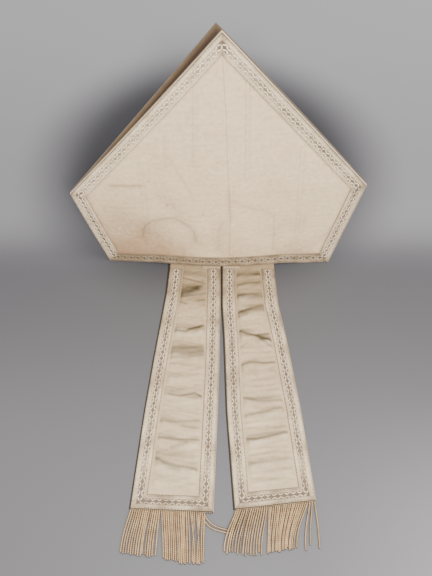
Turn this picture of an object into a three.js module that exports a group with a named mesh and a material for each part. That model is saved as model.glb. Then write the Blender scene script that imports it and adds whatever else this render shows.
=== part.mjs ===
// A bishop's mitre of cream silk, folded nearly flat and standing on its hem. Its two lappets are
// sewn inside the back hem, pass under it and lie on the table, each with a fringe at its end.
//
// Millimetres, +Z up. +X is to the right as seen from behind the mitre, and -Y is the way the
// lappets run. The sizes below count from the middle of the head opening, at the level of the table.
// The finished mitre is then set down with the middle of its footprint at the origin.

import * as THREE from "three";

// ---------------------------------------------------------------- driving dimensions

const PANEL_WALL = 2.0; // stiffened silk of the front and back panels
const GUSSET_WALL = 1.0; // soft cloth folded down between the two horns
const LAPPET_WALL = 1.6; // silk and its backing
const TRIM_WALL = 1.0; // woven galloon
const TRIM_WIDTH = 16.5;
const TRIM_INSET = 0.5; // from a panel's edge to the galloon's outer edge
const GAP = 0.3; // between neighbouring pieces
const TRIM_CLEARANCE = 0.4; // between a panel's face and its galloon
const SIDE_SEAM_GAP = 0.4; // between the two panels along their lower side edges

// The corners of the two panels. The hem measures half of the head's girth.
const BASE_LEFT = { x: -144, y: -13.5, z: 0 };
const BASE_RIGHT = { x: 144, y: -16, z: 0 };
const WIDE_LEFT = { x: -179.5, y: -4.5, z: 124 };
const WIDE_RIGHT = { x: 177.5, y: 4.5, z: 129 };
const BACK_APEX = { x: 2, y: 32, z: 332 };
const FRONT_APEX = { x: -4, y: 32, z: 332.5 }; // the front horn leans a little to the left
const HORN_GAP = 9.5; // how far the front horn's tip stands behind the back horn's

const BACK_BULGE = { hem: 10, widest: 9.5 }; // how far the middle stands out from the side edges
const FRONT_BULGE = { hem: 40, widest: 25 };

// The back hem rides up over the lappets.
const HEM_LIFT = { height: 2.6, left: -72, right: 77, run: 40 };

// The lappets' tongues, sewn inside the back hem.
const TONGUE_HEIGHT = 16;
const TONGUE_CLEARANCE = 0.6;
const TONGUE_BEND = 2.2; // radius of the cloth's middle where it turns under the hem

const GUSSET_CLEARANCE = 0.5; // to the panels' inner faces
const GUSSET_START = 0.26; // share of an upper edge, from the wide corner, that has no gusset
const GUSSET_PROUD = 0.6; // how far its edges stand above the panels'
const GUSSET_VALLEY = { ends: 140, middle: 222 }; // height at which each leg turns into the fold
const GUSSET_DROP = 6; // how far the fold hangs below that
const LEG_SHARE = 0.36; // share of the gusset's path that each leg takes

const FRINGE_THICKNESS = 3.0;

// Shallow dents in the back panel: centre, half sizes along and across, turn and depth inwards.
const BACK_DENTS = [
  { x: -66, z: 108, long: 34, wide: 11, turn: -58, depth: 1.6 },
  { x: -104, z: 62, long: 40, wide: 16, turn: -20, depth: 1.4 },
  { x: 36, z: 150, long: 60, wide: 9, turn: 88, depth: 0.9 },
  { x: -36, z: 160, long: 55, wide: 9, turn: 90, depth: 0.9 },
  { x: 70, z: 52, long: 42, wide: 18, turn: 8, depth: 1.2 },
];

// Where each lappet's two long edges lie on the table, section by section from the hem outwards.
const LEFT_LAPPET = [
  { outerX: -65.0, outerY: -30, innerX: 1.7, innerY: -30 },
  { outerX: -67.7, outerY: -68, innerX: 1.9, innerY: -68 },
  { outerX: -79.6, outerY: -163, innerX: 0.3, innerY: -164 },
  { outerX: -87.2, outerY: -232, innerX: -1.9, innerY: -233 },
  { outerX: -97.8, outerY: -351, innerX: -6.8, innerY: -355 },
];
const RIGHT_LAPPET = [
  { outerX: 72.2, outerY: -30, innerX: 4.2, innerY: -30 },
  { outerX: 75.6, outerY: -88, innerX: 3.9, innerY: -88 },
  { outerX: 83.0, outerY: -134, innerX: 6.2, innerY: -136 },
  { outerX: 95.3, outerY: -232, innerX: 8.6, innerY: -234 },
  { outerX: 105.6, outerY: -342, innerX: 16.0, innerY: -352 },
];

// The puckers that cross each lappet's silk: distance from the hem, height above the table,
// half width, and how much nearer the tip the fold lies at its inner end.
const LEFT_FOLDS = [
  { at: 16, height: 1.6, half: 5, slant: 4 },
  { at: 40, height: 2.8, half: 9, slant: -6 },
  { at: 61, height: 2.0, half: 6, slant: 3 },
  { at: 101, height: 3.0, half: 7, slant: -5 },
  { at: 133, height: 2.6, half: 9, slant: 2 },
  { at: 166, height: 1.6, half: 6, slant: -2 },
  { at: 191, height: 2.6, half: 6, slant: 2 },
  { at: 229, height: 2.2, half: 6, slant: 5 },
  { at: 249, height: 2.4, half: 6, slant: 3 },
  { at: 276, height: 2.4, half: 8, slant: 14 },
];
const RIGHT_FOLDS = [
  { at: 15, height: 1.8, half: 5, slant: -2 },
  { at: 32, height: 1.6, half: 5, slant: 2 },
  { at: 49, height: 2.4, half: 6, slant: 1 },
  { at: 74, height: 3.0, half: 8, slant: 10 },
  { at: 113, height: 3.0, half: 7, slant: -18 },
  { at: 150, height: 1.8, half: 6, slant: 3 },
  { at: 159, height: 1.4, half: 5, slant: -2 },
  { at: 198, height: 2.2, half: 6, slant: 1 },
  { at: 215, height: 1.8, half: 6, slant: 4 },
  { at: 243, height: 2.8, half: 7, slant: 9 },
  { at: 275, height: 1.8, half: 7, slant: 4 },
];

// Where the fringes' tips lie, from the outer side of each lappet inwards.
const LEFT_TIPS = [
  { x: -105, y: -400 },
  { x: -84, y: -401.5 },
  { x: -62, y: -403 },
  { x: -41, y: -408.5 },
  { x: -17, y: -409.5 },
];
const RIGHT_TIPS = [
  { x: 106, y: -394.5 },
  { x: 75, y: -394.5 },
  { x: 52, y: -399.5 },
  { x: 25, y: -399.5 },
  { x: 3, y: -398.5 },
];

// ---------------------------------------------------------------- materials

const cloth = (color, roughness) =>
  new THREE.MeshStandardMaterial({ color, roughness, metalness: 0 });

const SILK = cloth(0xdcd2c2, 0.55);
const GALLOON = cloth(0xe0d6c4, 0.6);
const LINING = cloth(0xb0875c, 0.6);
const BULLION = cloth(0xcbb592, 0.5);

// ---------------------------------------------------------------- helpers

const lerp = (a, b, t) => a + (b - a) * t;

const smoothStep = (t) => {
  const clamped = Math.min(Math.max(t, 0), 1);
  return clamped * clamped * (3 - 2 * clamped);
};

const evenStops = (count, from = 0, to = 1) =>
  Array.from({ length: count + 1 }, (_, i) => lerp(from, to, i / count));

/** A point on the broken line through the rows of a table, at share t of the rows. */
function alongRows(rows, t) {
  const place = Math.min(Math.max(t, 0), 1) * (rows.length - 1);
  const first = Math.min(Math.floor(place), rows.length - 2);
  const mix = (key) => lerp(rows[first][key], rows[first + 1][key], place - first);
  return Object.fromEntries(Object.keys(rows[0]).map((key) => [key, mix(key)]));
}

/**
 * A closed solid between two surfaces that share the directions u and v. Each surface gives [x, y, z]
 * at (u, v). Corners that coincide, as at a horn's tip, become one vertex.
 */
function solidBetween(under, over, uStops, vStops) {
  const positions = [];
  const triangles = [];
  const known = new Map();
  const vertex = (point) => {
    const key = point.map((value) => value.toFixed(4)).join(" ");
    if (!known.has(key)) {
      known.set(key, positions.length / 3);
      positions.push(...point);
    }
    return known.get(key);
  };
  const triangle = (a, b, c) => {
    if (a !== b && b !== c && c !== a) triangles.push([a, b, c]);
  };
  const quad = (a, b, c, d) => {
    triangle(a, b, c);
    triangle(a, c, d);
  };
  const low = uStops.map((u) => vStops.map((v) => vertex(under(u, v))));
  const high = uStops.map((u) => vStops.map((v) => vertex(over(u, v))));
  const lastU = uStops.length - 1;
  const lastV = vStops.length - 1;
  for (let i = 0; i < lastU; i += 1) {
    for (let j = 0; j < lastV; j += 1) {
      quad(high[i][j], high[i + 1][j], high[i + 1][j + 1], high[i][j + 1]);
      quad(low[i][j], low[i][j + 1], low[i + 1][j + 1], low[i + 1][j]);
    }
    quad(low[i][0], low[i + 1][0], high[i + 1][0], high[i][0]);
    quad(low[i + 1][lastV], low[i][lastV], high[i][lastV], high[i + 1][lastV]);
  }
  for (let j = 0; j < lastV; j += 1) {
    quad(low[0][j + 1], low[0][j], high[0][j], high[0][j + 1]);
    quad(low[lastU][j], low[lastU][j + 1], high[lastU][j + 1], high[lastU][j]);
  }
  return outwardGeometry(positions, triangles);
}

/** A geometry from vertices and triangles, turned so that every face points outwards. */
function outwardGeometry(positions, triangles) {
  const corner = (n) => new THREE.Vector3().fromArray(positions, 3 * n);
  const volume = triangles.reduce(
    (sum, [a, b, c]) => sum + corner(a).dot(corner(b).cross(corner(c))),
    0,
  );
  const faces = volume > 0 ? triangles : triangles.map(([a, b, c]) => [a, c, b]);
  const geometry = new THREE.BufferGeometry();
  geometry.setAttribute("position", new THREE.Float32BufferAttribute(positions, 3));
  geometry.setIndex(faces.flat());
  geometry.computeVertexNormals();
  return geometry;
}

const mitre = new THREE.Group();
mitre.name = "mitre";

function addPiece(name, geometry, material) {
  const mesh = new THREE.Mesh(geometry, material);
  mesh.name = name;
  mitre.add(mesh);
}

// ---------------------------------------------------------------- the two panels

// A panel's side is -1 at the back and +1 at the front: the way its outer face looks along Y.
const BACK = { side: -1, apex: BACK_APEX, bulge: BACK_BULGE, dents: BACK_DENTS };
const FRONT = { side: 1, apex: FRONT_APEX, bulge: FRONT_BULGE, dents: [] };

/**
 * A point of a side edge at height z. Seen from behind, the edge is straight from the hem to the wide
 * corner and on to the apex; seen from the side, it is one curve through the same three points.
 */
function edgeAt(base, wide, apex, z) {
  const [from, to] = z < wide.z ? [base, wide] : [wide, apex];
  const lower = (wide.y - base.y) / (wide.z - base.z);
  const upper = (apex.y - wide.y) / (apex.z - wide.z);
  const bend = (upper - lower) / (apex.z - base.z);
  return {
    x: lerp(from.x, to.x, (z - from.z) / (to.z - from.z)),
    y: base.y + (z - base.z) * (lower + bend * (z - wide.z)),
  };
}

/** How far the horns have parted at height z: quickly above the wide corners, then hardly more. */
function hornGap(z) {
  const wideZ = (WIDE_LEFT.z + WIDE_RIGHT.z) / 2;
  const rise = Math.min(Math.max((z - wideZ) / (BACK_APEX.z - wideZ), 0), 1);
  return HORN_GAP * (1 - (1 - rise) ** 2);
}

/** How far the hollow of one dent is pressed in at (x, z). */
function dentDepth({ x, z, long, wide, turn, depth }, atX, atZ) {
  const angle = THREE.MathUtils.degToRad(turn);
  const along = (atX - x) * Math.cos(angle) + (atZ - z) * Math.sin(angle);
  const across = (atZ - z) * Math.cos(angle) - (atX - x) * Math.sin(angle);
  return depth * Math.exp(-((along / long) ** 2) - (across / wide) ** 2);
}

/** Y of the middle of a panel's wall at (x, z). */
function panelY({ side, apex, bulge, dents }, x, z) {
  const left = edgeAt(BASE_LEFT, WIDE_LEFT, apex, z);
  const right = edgeAt(BASE_RIGHT, WIDE_RIGHT, apex, z);
  const width = right.x - left.x;
  const share = width > 1e-6 ? Math.min(Math.max((x - left.x) / width, 0), 1) : 0.5;
  const arch = Math.sin(Math.PI * share) ** 2;
  const widest = WIDE_RIGHT.x - WIDE_LEFT.x;
  const stand = z < WIDE_LEFT.z ? lerp(bulge.hem, bulge.widest, z / WIDE_LEFT.z)
    : bulge.widest * smoothStep(width / widest);
  const dented = dents.reduce((sum, dent) => sum + dentDepth(dent, x, z), 0) * arch;
  const seam = (PANEL_WALL + SIDE_SEAM_GAP) / 2;
  const parted = side > 0 ? hornGap(z) : 0;
  return lerp(left.y, right.y, share) + side * (seam + stand * arch - dented) + parted;
}

/** Height of the back hem above the table. */
function hemLift(x) {
  const rise = smoothStep((x - HEM_LIFT.left) / HEM_LIFT.run + 1);
  const fall = smoothStep((HEM_LIFT.right - x) / HEM_LIFT.run + 1);
  return HEM_LIFT.height * rise * fall;
}

function panelGeometry(panel) {
  const heights = [...evenStops(7, 0, WIDE_LEFT.z), ...evenStops(11, WIDE_RIGHT.z, panel.apex.z)];
  const face = (offset) => (u, z) => {
    const left = edgeAt(BASE_LEFT, WIDE_LEFT, panel.apex, z);
    const right = edgeAt(BASE_RIGHT, WIDE_RIGHT, panel.apex, z);
    const x = lerp(left.x, right.x, u);
    const lifted = z === 0 && panel.side < 0 ? hemLift(x) : z;
    return [x, panelY(panel, x, lifted) + offset, lifted];
  };
  return solidBetween(face(-PANEL_WALL / 2), face(PANEL_WALL / 2), evenStops(18), heights);
}

addPiece("back_panel", panelGeometry(BACK), SILK);
addPiece("front_panel", panelGeometry(FRONT), SILK);

// ---------------------------------------------------------------- galloon

/** The corners of an outline moved inwards; the outline runs anticlockwise in (x, z). */
function insetCorners(corners, distance) {
  const count = corners.length;
  const edges = corners.map((from, i) => {
    const to = corners[(i + 1) % count];
    const length = Math.hypot(to.x - from.x, to.z - from.z);
    const along = { x: (to.x - from.x) / length, z: (to.z - from.z) / length };
    return { along, start: { x: from.x - along.z * distance, z: from.z + along.x * distance } };
  });
  return edges.map((edge, i) => {
    const last = edges[(i + count - 1) % count];
    const cross = last.along.x * edge.along.z - last.along.z * edge.along.x;
    const apartX = edge.start.x - last.start.x;
    const apartZ = edge.start.z - last.start.z;
    const t = (apartX * edge.along.z - apartZ * edge.along.x) / cross;
    return { x: last.start.x + last.along.x * t, z: last.start.z + last.along.z * t };
  });
}

/** The four corners of each band that borders an outline, cut to a mitre where two bands meet. */
function borderBands(corners) {
  const outer = insetCorners(corners, TRIM_INSET);
  const inner = insetCorners(corners, TRIM_INSET + TRIM_WIDTH);
  return corners.map((_, i) => {
    const next = (i + 1) % corners.length;
    return { outer: [outer[i], outer[next]], inner: [inner[i], inner[next]] };
  });
}

/** A point of a band, t along it and w from its outer to its inner edge. */
function bandPoint(band, t, w) {
  const length = Math.hypot(band.outer[1].x - band.outer[0].x, band.outer[1].z - band.outer[0].z);
  const kept = lerp(GAP / length, 1 - GAP / length, t);
  return {
    x: lerp(lerp(band.outer[0].x, band.outer[1].x, kept), lerp(band.inner[0].x, band.inner[1].x, kept), w),
    z: lerp(lerp(band.outer[0].z, band.outer[1].z, kept), lerp(band.inner[0].z, band.inner[1].z, kept), w),
  };
}

const BAND_NAMES = ["base", "lower_right", "upper_right", "upper_left", "lower_left"];

function addPanelTrims(panel, prefix) {
  const bands = borderBands([BASE_LEFT, BASE_RIGHT, WIDE_RIGHT, panel.apex, WIDE_LEFT]);
  BAND_NAMES.forEach((name, i) => {
    const ridesHem = name === "base" && panel.side < 0;
    const face = (offset) => (t, w) => {
      const { x, z } = bandPoint(bands[i], t, w);
      const height = ridesHem ? z + hemLift(x) : z;
      return [x, panelY(panel, x, height) + panel.side * (PANEL_WALL / 2 + offset), height];
    };
    const under = face(TRIM_CLEARANCE);
    const over = face(TRIM_CLEARANCE + TRIM_WALL);
    const geometry = solidBetween(under, over, evenStops(18), evenStops(1));
    addPiece(`${prefix}_trim_${name}`, geometry, GALLOON);
  });
}

addPanelTrims(BACK, "back");
addPanelTrims(FRONT, "front");

// ---------------------------------------------------------------- the gusset between the horns

/** A point of a panel's upper edge: u runs from the left wide corner over the tip to the right one. */
function hornEdge(apex, u) {
  const corner = u < 0.5 ? WIDE_LEFT : WIDE_RIGHT;
  const climb = lerp(GUSSET_START, 1, 1 - Math.abs(2 * u - 1));
  return { x: lerp(corner.x, apex.x, climb), z: lerp(corner.z, apex.z, climb) };
}

/**
 * The gusset hangs from both horns' edges and folds down between them: down the back horn, round a
 * half turn and up the front horn. v runs along that path, and offset moves the point off the
 * cloth's middle, towards the panels.
 */
function gussetPoint(u, v, offset) {
  const back = hornEdge(BACK_APEX, u);
  const front = hornEdge(FRONT_APEX, u);
  const x = lerp(back.x, front.x, v);
  const valley = lerp(GUSSET_VALLEY.ends, GUSSET_VALLEY.middle, Math.sin(Math.PI * u));
  const reach = PANEL_WALL / 2 + GUSSET_CLEARANCE + GUSSET_WALL / 2;
  const backY = (z) => panelY(BACK, x, z) + reach;
  const frontY = (z) => panelY(FRONT, x, z) - reach;
  const radius = (frontY(valley) - backY(valley)) / 2;
  if (v <= LEG_SHARE) {
    const z = lerp(back.z + GUSSET_PROUD, valley, v / LEG_SHARE);
    return [x, backY(z) - offset, z];
  }
  if (v >= 1 - LEG_SHARE) {
    const z = lerp(front.z + GUSSET_PROUD, valley, (1 - v) / LEG_SHARE);
    return [x, frontY(z) + offset, z];
  }
  const angle = Math.PI * (v - LEG_SHARE) / (1 - 2 * LEG_SHARE);
  const middle = (frontY(valley) + backY(valley)) / 2;
  const drop = Math.min(radius, GUSSET_DROP);
  return [
    x,
    middle - (radius + offset) * Math.cos(angle),
    valley - (drop + offset) * Math.sin(angle),
  ];
}

function gussetGeometry() {
  const legStops = evenStops(6, 0, LEG_SHARE);
  const bendStops = evenStops(4, LEG_SHARE, 1 - LEG_SHARE).slice(1, -1);
  const pathStops = [...legStops, ...bendStops, ...legStops.map((v) => 1 - v).reverse()];
  return solidBetween(
    (u, v) => gussetPoint(u, v, GUSSET_WALL / 2),
    (u, v) => gussetPoint(u, v, -GUSSET_WALL / 2),
    evenStops(18),
    pathStops,
  );
}

addPiece("gusset", gussetGeometry(), LINING);

// ---------------------------------------------------------------- the lappets

const hemFaceY = (x) => panelY(BACK, x, HEM_LIFT.height) - PANEL_WALL / 2;
const tongueY = (x, z) => panelY(BACK, x, z) + (PANEL_WALL + LAPPET_WALL) / 2 + TONGUE_CLEARANCE;

// Share of a lappet's grid that each long galloon takes up, and of the silk where a fold dies out.
const GALLOON_SHARE = 0.25;
const FOLD_FADE = 0.12;

/** Turns a share of the grid into a share of the lappet's width, so that columns follow the galloon. */
function acrossLappet(t, width) {
  const covered = (TRIM_INSET + TRIM_WIDTH + 1) / width;
  if (t <= GALLOON_SHARE) return (t / GALLOON_SHARE) * covered;
  if (t >= 1 - GALLOON_SHARE) return 1 - ((1 - t) / GALLOON_SHARE) * covered;
  return lerp(covered, 1 - covered, (t - GALLOON_SHARE) / (1 - 2 * GALLOON_SHARE));
}

/** Height of the lappet's folds above the table at a distance from the hem; flat under its galloon. */
function foldHeight(folds, distance, t) {
  const across = (t - GALLOON_SHARE) / (1 - 2 * GALLOON_SHARE);
  const free = smoothStep((0.5 - Math.abs(across - 0.5)) / FOLD_FADE);
  return free * folds.reduce((sum, fold) => {
    const centre = fold.at + fold.slant * (across - 0.5);
    return sum + fold.height * Math.exp(-(((distance - centre) / fold.half) ** 2));
  }, 0);
}

/** A point of the lappet's plan on the table: a share across from the outer edge, s from hem to tip. */
function lappetPlan(rows, across, s) {
  const length = Math.abs(rows[rows.length - 1].outerY - rows[0].outerY);
  const reached = s * length;
  const place = rows.findIndex((row, i) => i > 0 && Math.abs(row.outerY - rows[0].outerY) >= reached);
  const i = place < 0 ? rows.length - 1 : place;
  const from = Math.abs(rows[i - 1].outerY - rows[0].outerY);
  const to = Math.abs(rows[i].outerY - rows[0].outerY);
  const mix = (key) => lerp(rows[i - 1][key], rows[i][key], (reached - from) / (to - from));
  return {
    x: lerp(mix("outerX"), mix("innerX"), across),
    y: lerp(mix("outerY"), mix("innerY"), across),
  };
}

function lappetWidth(rows, s) {
  const outer = lappetPlan(rows, 0, s);
  const inner = lappetPlan(rows, 1, s);
  return Math.hypot(outer.x - inner.x, outer.y - inner.y);
}

/**
 * A point of a lappet, t across and v along: v below 0 climbs the tongue inside the hem, from 0 to
 * 1 it turns under the hem, and from 1 to 2 it runs out over the table.
 */
function lappetPoint(rows, folds, t, v, offset) {
  const s = Math.max(v - 1, 0);
  const across = acrossLappet(t, lappetWidth(rows, s));
  const top = lappetPlan(rows, across, 0);
  const bendZ = LAPPET_WALL / 2 + TONGUE_BEND;
  const inner = tongueY(top.x, bendZ);
  if (v < 0) {
    const z = lerp(bendZ, TONGUE_HEIGHT, -v);
    return [top.x, tongueY(top.x, z) + offset, z];
  }
  if (v < 1) {
    const angle = (Math.PI / 2) * v;
    const radius = TONGUE_BEND + offset;
    return [
      top.x,
      inner - TONGUE_BEND + radius * Math.cos(angle),
      bendZ - radius * Math.sin(angle),
    ];
  }
  const plan = lappetPlan(rows, across, s);
  const distance = hemFaceY(plan.x) - plan.y;
  const lift = v > 1 ? foldHeight(folds, distance, t) : 0;
  const y = v > 1 ? plan.y : inner - TONGUE_BEND;
  return [plan.x, y, LAPPET_WALL / 2 + lift - offset];
}

function lappetGeometry(rows, folds) {
  return solidBetween(
    (t, v) => lappetPoint(rows, folds, t, v, LAPPET_WALL / 2),
    (t, v) => lappetPoint(rows, folds, t, v, -LAPPET_WALL / 2),
    [0, ...evenStops(6, GALLOON_SHARE, 1 - GALLOON_SHARE), 1],
    [-1, -0.5, ...evenStops(3), ...evenStops(44, 1, 2).slice(1)],
  );
}

/** Galloon down both long edges and across the end, laid flat on the silk, mitred at the corners. */
function addLappetTrims(rows, side) {
  const level = LAPPET_WALL + GAP;
  const length = Math.abs(rows[rows.length - 1].outerY - rows[0].outerY);
  const acrossBy = (s, distance) => distance / lappetWidth(rows, s);
  const lastShare = 1 - TRIM_INSET / length;
  const cornerShare = lastShare - TRIM_WIDTH / length;
  const hemShare = 0.002;
  const strip = (name, plan, count) => {
    const face = (z) => (t, w) => {
      const { x, y } = plan(t, w);
      return [x, y, z];
    };
    const geometry = solidBetween(face(level), face(level + TRIM_WALL), evenStops(count), evenStops(1));
    addPiece(`lappet_${side}_trim_${name}`, geometry, GALLOON);
  };
  const mitreGap = GAP / length;
  const longEdge = (flip) => (t, w) => {
    const end = lerp(lastShare - mitreGap, cornerShare - mitreGap, w);
    const s = lerp(hemShare, end, t);
    const across = acrossBy(s, TRIM_INSET + w * TRIM_WIDTH);
    return lappetPlan(rows, flip ? 1 - across : across, s);
  };
  const bottomEdge = (t, w) => {
    const s = lerp(lastShare, cornerShare, w);
    const across = acrossBy(s, TRIM_INSET + GAP + w * TRIM_WIDTH);
    return lappetPlan(rows, lerp(across, 1 - across, t), s);
  };
  strip("outer", longEdge(false), 12);
  strip("inner", longEdge(true), 12);
  strip("bottom", bottomEdge, 8);
}

// ---------------------------------------------------------------- the fringes

/** The outer form of a fringe of twisted cords that hang from the lappet's end and lie on the table. */
function fringeGeometry(rows, tips) {
  const end = rows[rows.length - 1];
  const plan = (t, v) => {
    const tip = alongRows(tips, t);
    const topX = lerp(end.outerX, end.innerX, t);
    const topY = lerp(end.outerY, end.innerY, t) - GAP;
    const swept = Math.sin(v * Math.PI / 2);
    return [lerp(topX, tip.x, swept), lerp(topY, tip.y, v)];
  };
  const thin = (v) => FRINGE_THICKNESS * (1 - 0.25 * v * v);
  return solidBetween(
    (t, v) => [...plan(t, v), 0],
    (t, v) => [...plan(t, v), thin(v)],
    evenStops(8),
    evenStops(4),
  );
}

const SIDES = [
  { side: "left", rows: LEFT_LAPPET, folds: LEFT_FOLDS, tips: LEFT_TIPS },
  { side: "right", rows: RIGHT_LAPPET, folds: RIGHT_FOLDS, tips: RIGHT_TIPS },
];
SIDES.forEach(({ side, rows, folds, tips }) => {
  addPiece(`lappet_${side}`, lappetGeometry(rows, folds), SILK);
  addLappetTrims(rows, side);
  addPiece(`fringe_${side}`, fringeGeometry(rows, tips), BULLION);
});

// The middle of the footprint comes to the origin.
const footprint = new THREE.Box3().setFromObject(mitre).getCenter(new THREE.Vector3());
mitre.position.set(-footprint.x, -footprint.y, 0);

export default mitre;
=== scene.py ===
# %% [markdown]
# # A bishop's mitre
# A mitre is two stiffened silk panels joined along their lower sides, with a soft gusset folded down
# between the two horns. Two lappets hang from the back hem and end in fringes of twisted cord. Here
# the mitre is folded nearly flat and stands on its hem, with the lappets laid out on the table.
#
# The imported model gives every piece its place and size. Each piece is made again, finer, over its
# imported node: mesh code for the cloth, Geometry Nodes for what repeats along a path.

import math

import bmesh
import bpy
import numpy as np
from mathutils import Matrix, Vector


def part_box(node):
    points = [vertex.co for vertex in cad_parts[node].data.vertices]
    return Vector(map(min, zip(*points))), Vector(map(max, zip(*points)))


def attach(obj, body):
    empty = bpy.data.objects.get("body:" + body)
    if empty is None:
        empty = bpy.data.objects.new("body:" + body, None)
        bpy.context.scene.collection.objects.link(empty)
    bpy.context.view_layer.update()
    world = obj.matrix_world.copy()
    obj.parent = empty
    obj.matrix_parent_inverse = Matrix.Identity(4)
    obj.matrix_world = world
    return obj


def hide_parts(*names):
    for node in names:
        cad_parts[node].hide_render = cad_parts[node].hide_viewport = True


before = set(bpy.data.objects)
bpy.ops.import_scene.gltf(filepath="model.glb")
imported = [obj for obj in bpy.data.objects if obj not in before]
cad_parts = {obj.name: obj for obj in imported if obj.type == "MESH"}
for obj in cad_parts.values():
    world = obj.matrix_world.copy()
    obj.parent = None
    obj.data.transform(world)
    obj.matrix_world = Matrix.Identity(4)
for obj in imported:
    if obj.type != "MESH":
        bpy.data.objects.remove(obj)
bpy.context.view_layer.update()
print("packed nodes:", len(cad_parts))

# %% [markdown]
# The pattern of a mitre is drawn from the middle of its head opening, in millimetres. The packed
# model puts the middle of the footprint at the origin instead, so one shift, measured from two
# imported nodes, takes the pattern into the frame. Keeping the pattern's own numbers is easier to
# read than shifted ones.

# %% From the pattern to the frame
MM = 0.001

WIDE_LEFT_X = -179.5
LAPPET_END_Y = -355.0
SHIFT = np.array([
    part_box("back_panel")[0].x / MM - WIDE_LEFT_X,
    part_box("lappet_left")[0].y / MM - LAPPET_END_Y,
    0.0,
])


def in_frame(points):
    """Pattern millimetres to metres in the frame."""
    return (np.asarray(points, float) + SHIFT) * MM


print("shift of the pattern, mm:", SHIFT.round(3))

# %% [markdown]
# Old silk is never even: it waves, creases and takes up soil. A sum of sine waves in seeded
# directions gives such a slow, smooth unevenness to any set of points, the same on every run.

# %% Smooth unevenness and distances


def smooth_step(t):
    t = np.clip(t, 0.0, 1.0)
    return t * t * (3.0 - 2.0 * t)


def mix(a, b, t):
    return a + (b - a) * t


def ripple(x, y, length_x, length_y, seed, waves=9):
    """Smooth noise of about -1 to 1 whose waves are length_x and length_y long."""
    rng = np.random.default_rng(seed)
    total = np.zeros(np.broadcast(x, y).shape)
    for _ in range(waves):
        angle = rng.uniform(0, 2 * np.pi)
        stretch = rng.uniform(0.6, 1.6)
        phase = rng.uniform(0, 2 * np.pi)
        total += np.sin(
            2 * np.pi * stretch * (x * np.cos(angle) / length_x + y * np.sin(angle) / length_y) + phase
        )
    return total / math.sqrt(waves)


def from_line(x, y, corners):
    """Distance from each point to a broken line."""
    best = np.full(np.shape(x), 1e9)
    for (ax, ay), (bx, by) in zip(corners[:-1], corners[1:]):
        dx, dy = bx - ax, by - ay
        t = np.clip(((x - ax) * dx + (y - ay) * dy) / (dx * dx + dy * dy), 0, 1)
        best = np.minimum(best, np.hypot(x - ax - t * dx, y - ay - t * dy))
    return best


def rounded(corners, steps=8):
    """A smooth line through a few points (Catmull-Rom)."""
    points = np.array(corners, float)
    padded = np.vstack([2 * points[0] - points[1], points, 2 * points[-1] - points[-2]])
    line = []
    for i in range(len(points) - 1):
        p0, p1, p2, p3 = padded[i:i + 4]
        for t in np.linspace(0, 1, steps, endpoint=False):
            line.append(0.5 * (2 * p1 + (p2 - p0) * t + (2 * p0 - 5 * p1 + 4 * p2 - p3) * t**2
                               + (3 * p1 - p0 - 3 * p2 + p3) * t**3))
    return [tuple(p) for p in line] + [tuple(points[-1])]


# %% [markdown]
# Every cloth piece here is a thin closed shell: one grid of points for its face, one for its back,
# and a rim that joins them. Solidify could thicken a single sheet, but two grids let the face carry
# seams and profiles that the back doesn't have. Points that meet, as at a horn's tip, are merged,
# and the normals are then turned outwards.

# %% A closed shell from two grids


def shell_mesh(name, face, back, marks=None, band_uv=None):
    """face and back are (rows, columns, 3) arrays in pattern millimetres."""
    rows, columns = face.shape[:2]
    count = rows * columns
    index = np.arange(count).reshape(rows, columns)
    near = np.stack([index[:-1, :-1], index[1:, :-1], index[1:, 1:], index[:-1, 1:]], -1)
    near = near.reshape(-1, 4)
    far = near[:, ::-1] + count
    ring = np.concatenate([index[0, :], index[1:, -1], index[-1, -2::-1], index[-2:0:-1, 0]])
    following = np.roll(ring, -1)
    rim = np.stack([ring, following, following + count, ring + count], -1)
    faces = np.concatenate([near, far, rim])
    mesh = bpy.data.meshes.new(name)
    points = in_frame(np.concatenate([face.reshape(-1, 3), back.reshape(-1, 3)]))
    mesh.from_pydata(points.tolist(), [], faces.tolist())
    material_index = np.zeros(len(faces), np.int32)
    material_index[len(near):len(near) + len(far)] = 1
    mesh.polygons.foreach_set("material_index", material_index)
    for key, values in (marks or {}).items():
        layer = mesh.attributes.new(key, "FLOAT", "POINT")
        flat = np.broadcast_to(values, (rows, columns)).reshape(-1)
        layer.data.foreach_set("value", np.concatenate([flat, flat]).astype(np.float32))
    if band_uv is not None:
        corners = np.zeros(len(mesh.loops), np.int32)
        mesh.loops.foreach_get("vertex_index", corners)
        both = np.concatenate([band_uv.reshape(-1, 2)] * 2)
        layer = mesh.uv_layers.new(name="band")
        layer.data.foreach_set("uv", both[corners].reshape(-1).astype(np.float32))
    work = bmesh.new()
    work.from_mesh(mesh)
    bmesh.ops.remove_doubles(work, verts=work.verts, dist=2e-6)
    bmesh.ops.recalc_face_normals(work, faces=work.faces)
    work.to_mesh(mesh)
    work.free()
    mesh.polygons.foreach_set("use_smooth", np.ones(len(mesh.polygons), bool))
    mesh.set_sharp_from_angle(angle=math.radians(55))
    return mesh


def add_piece(name, mesh, materials=(), replaces=()):
    """Puts a finished mesh in the frame: it rides on the mitre's one body and stands for its nodes."""
    if materials:
        mesh.materials.clear()
        for material in materials:
            mesh.materials.append(material)
    piece = bpy.data.objects.new(name, mesh)
    bpy.context.scene.collection.objects.link(piece)
    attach(piece, "root")
    if replaces:
        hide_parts(*replaces)
    print(f"{name}: {len(mesh.polygons)} faces")
    return piece


# %% [markdown]
# ## Finishes
# Six finishes cover the mitre: cream silk satin, the tan lining, woven galloon, the silk of its
# knots, sewing thread and the cords' twisted bullion. What they share is built once as two shader
# node groups: a plain weave, for the bump of the threads, and an ageing mask, for uneven soil. Each
# material places them with its own values and keeps its own shader, because only masks and heights
# may come out of a group.

# %% Small helpers for shader nodes


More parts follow.
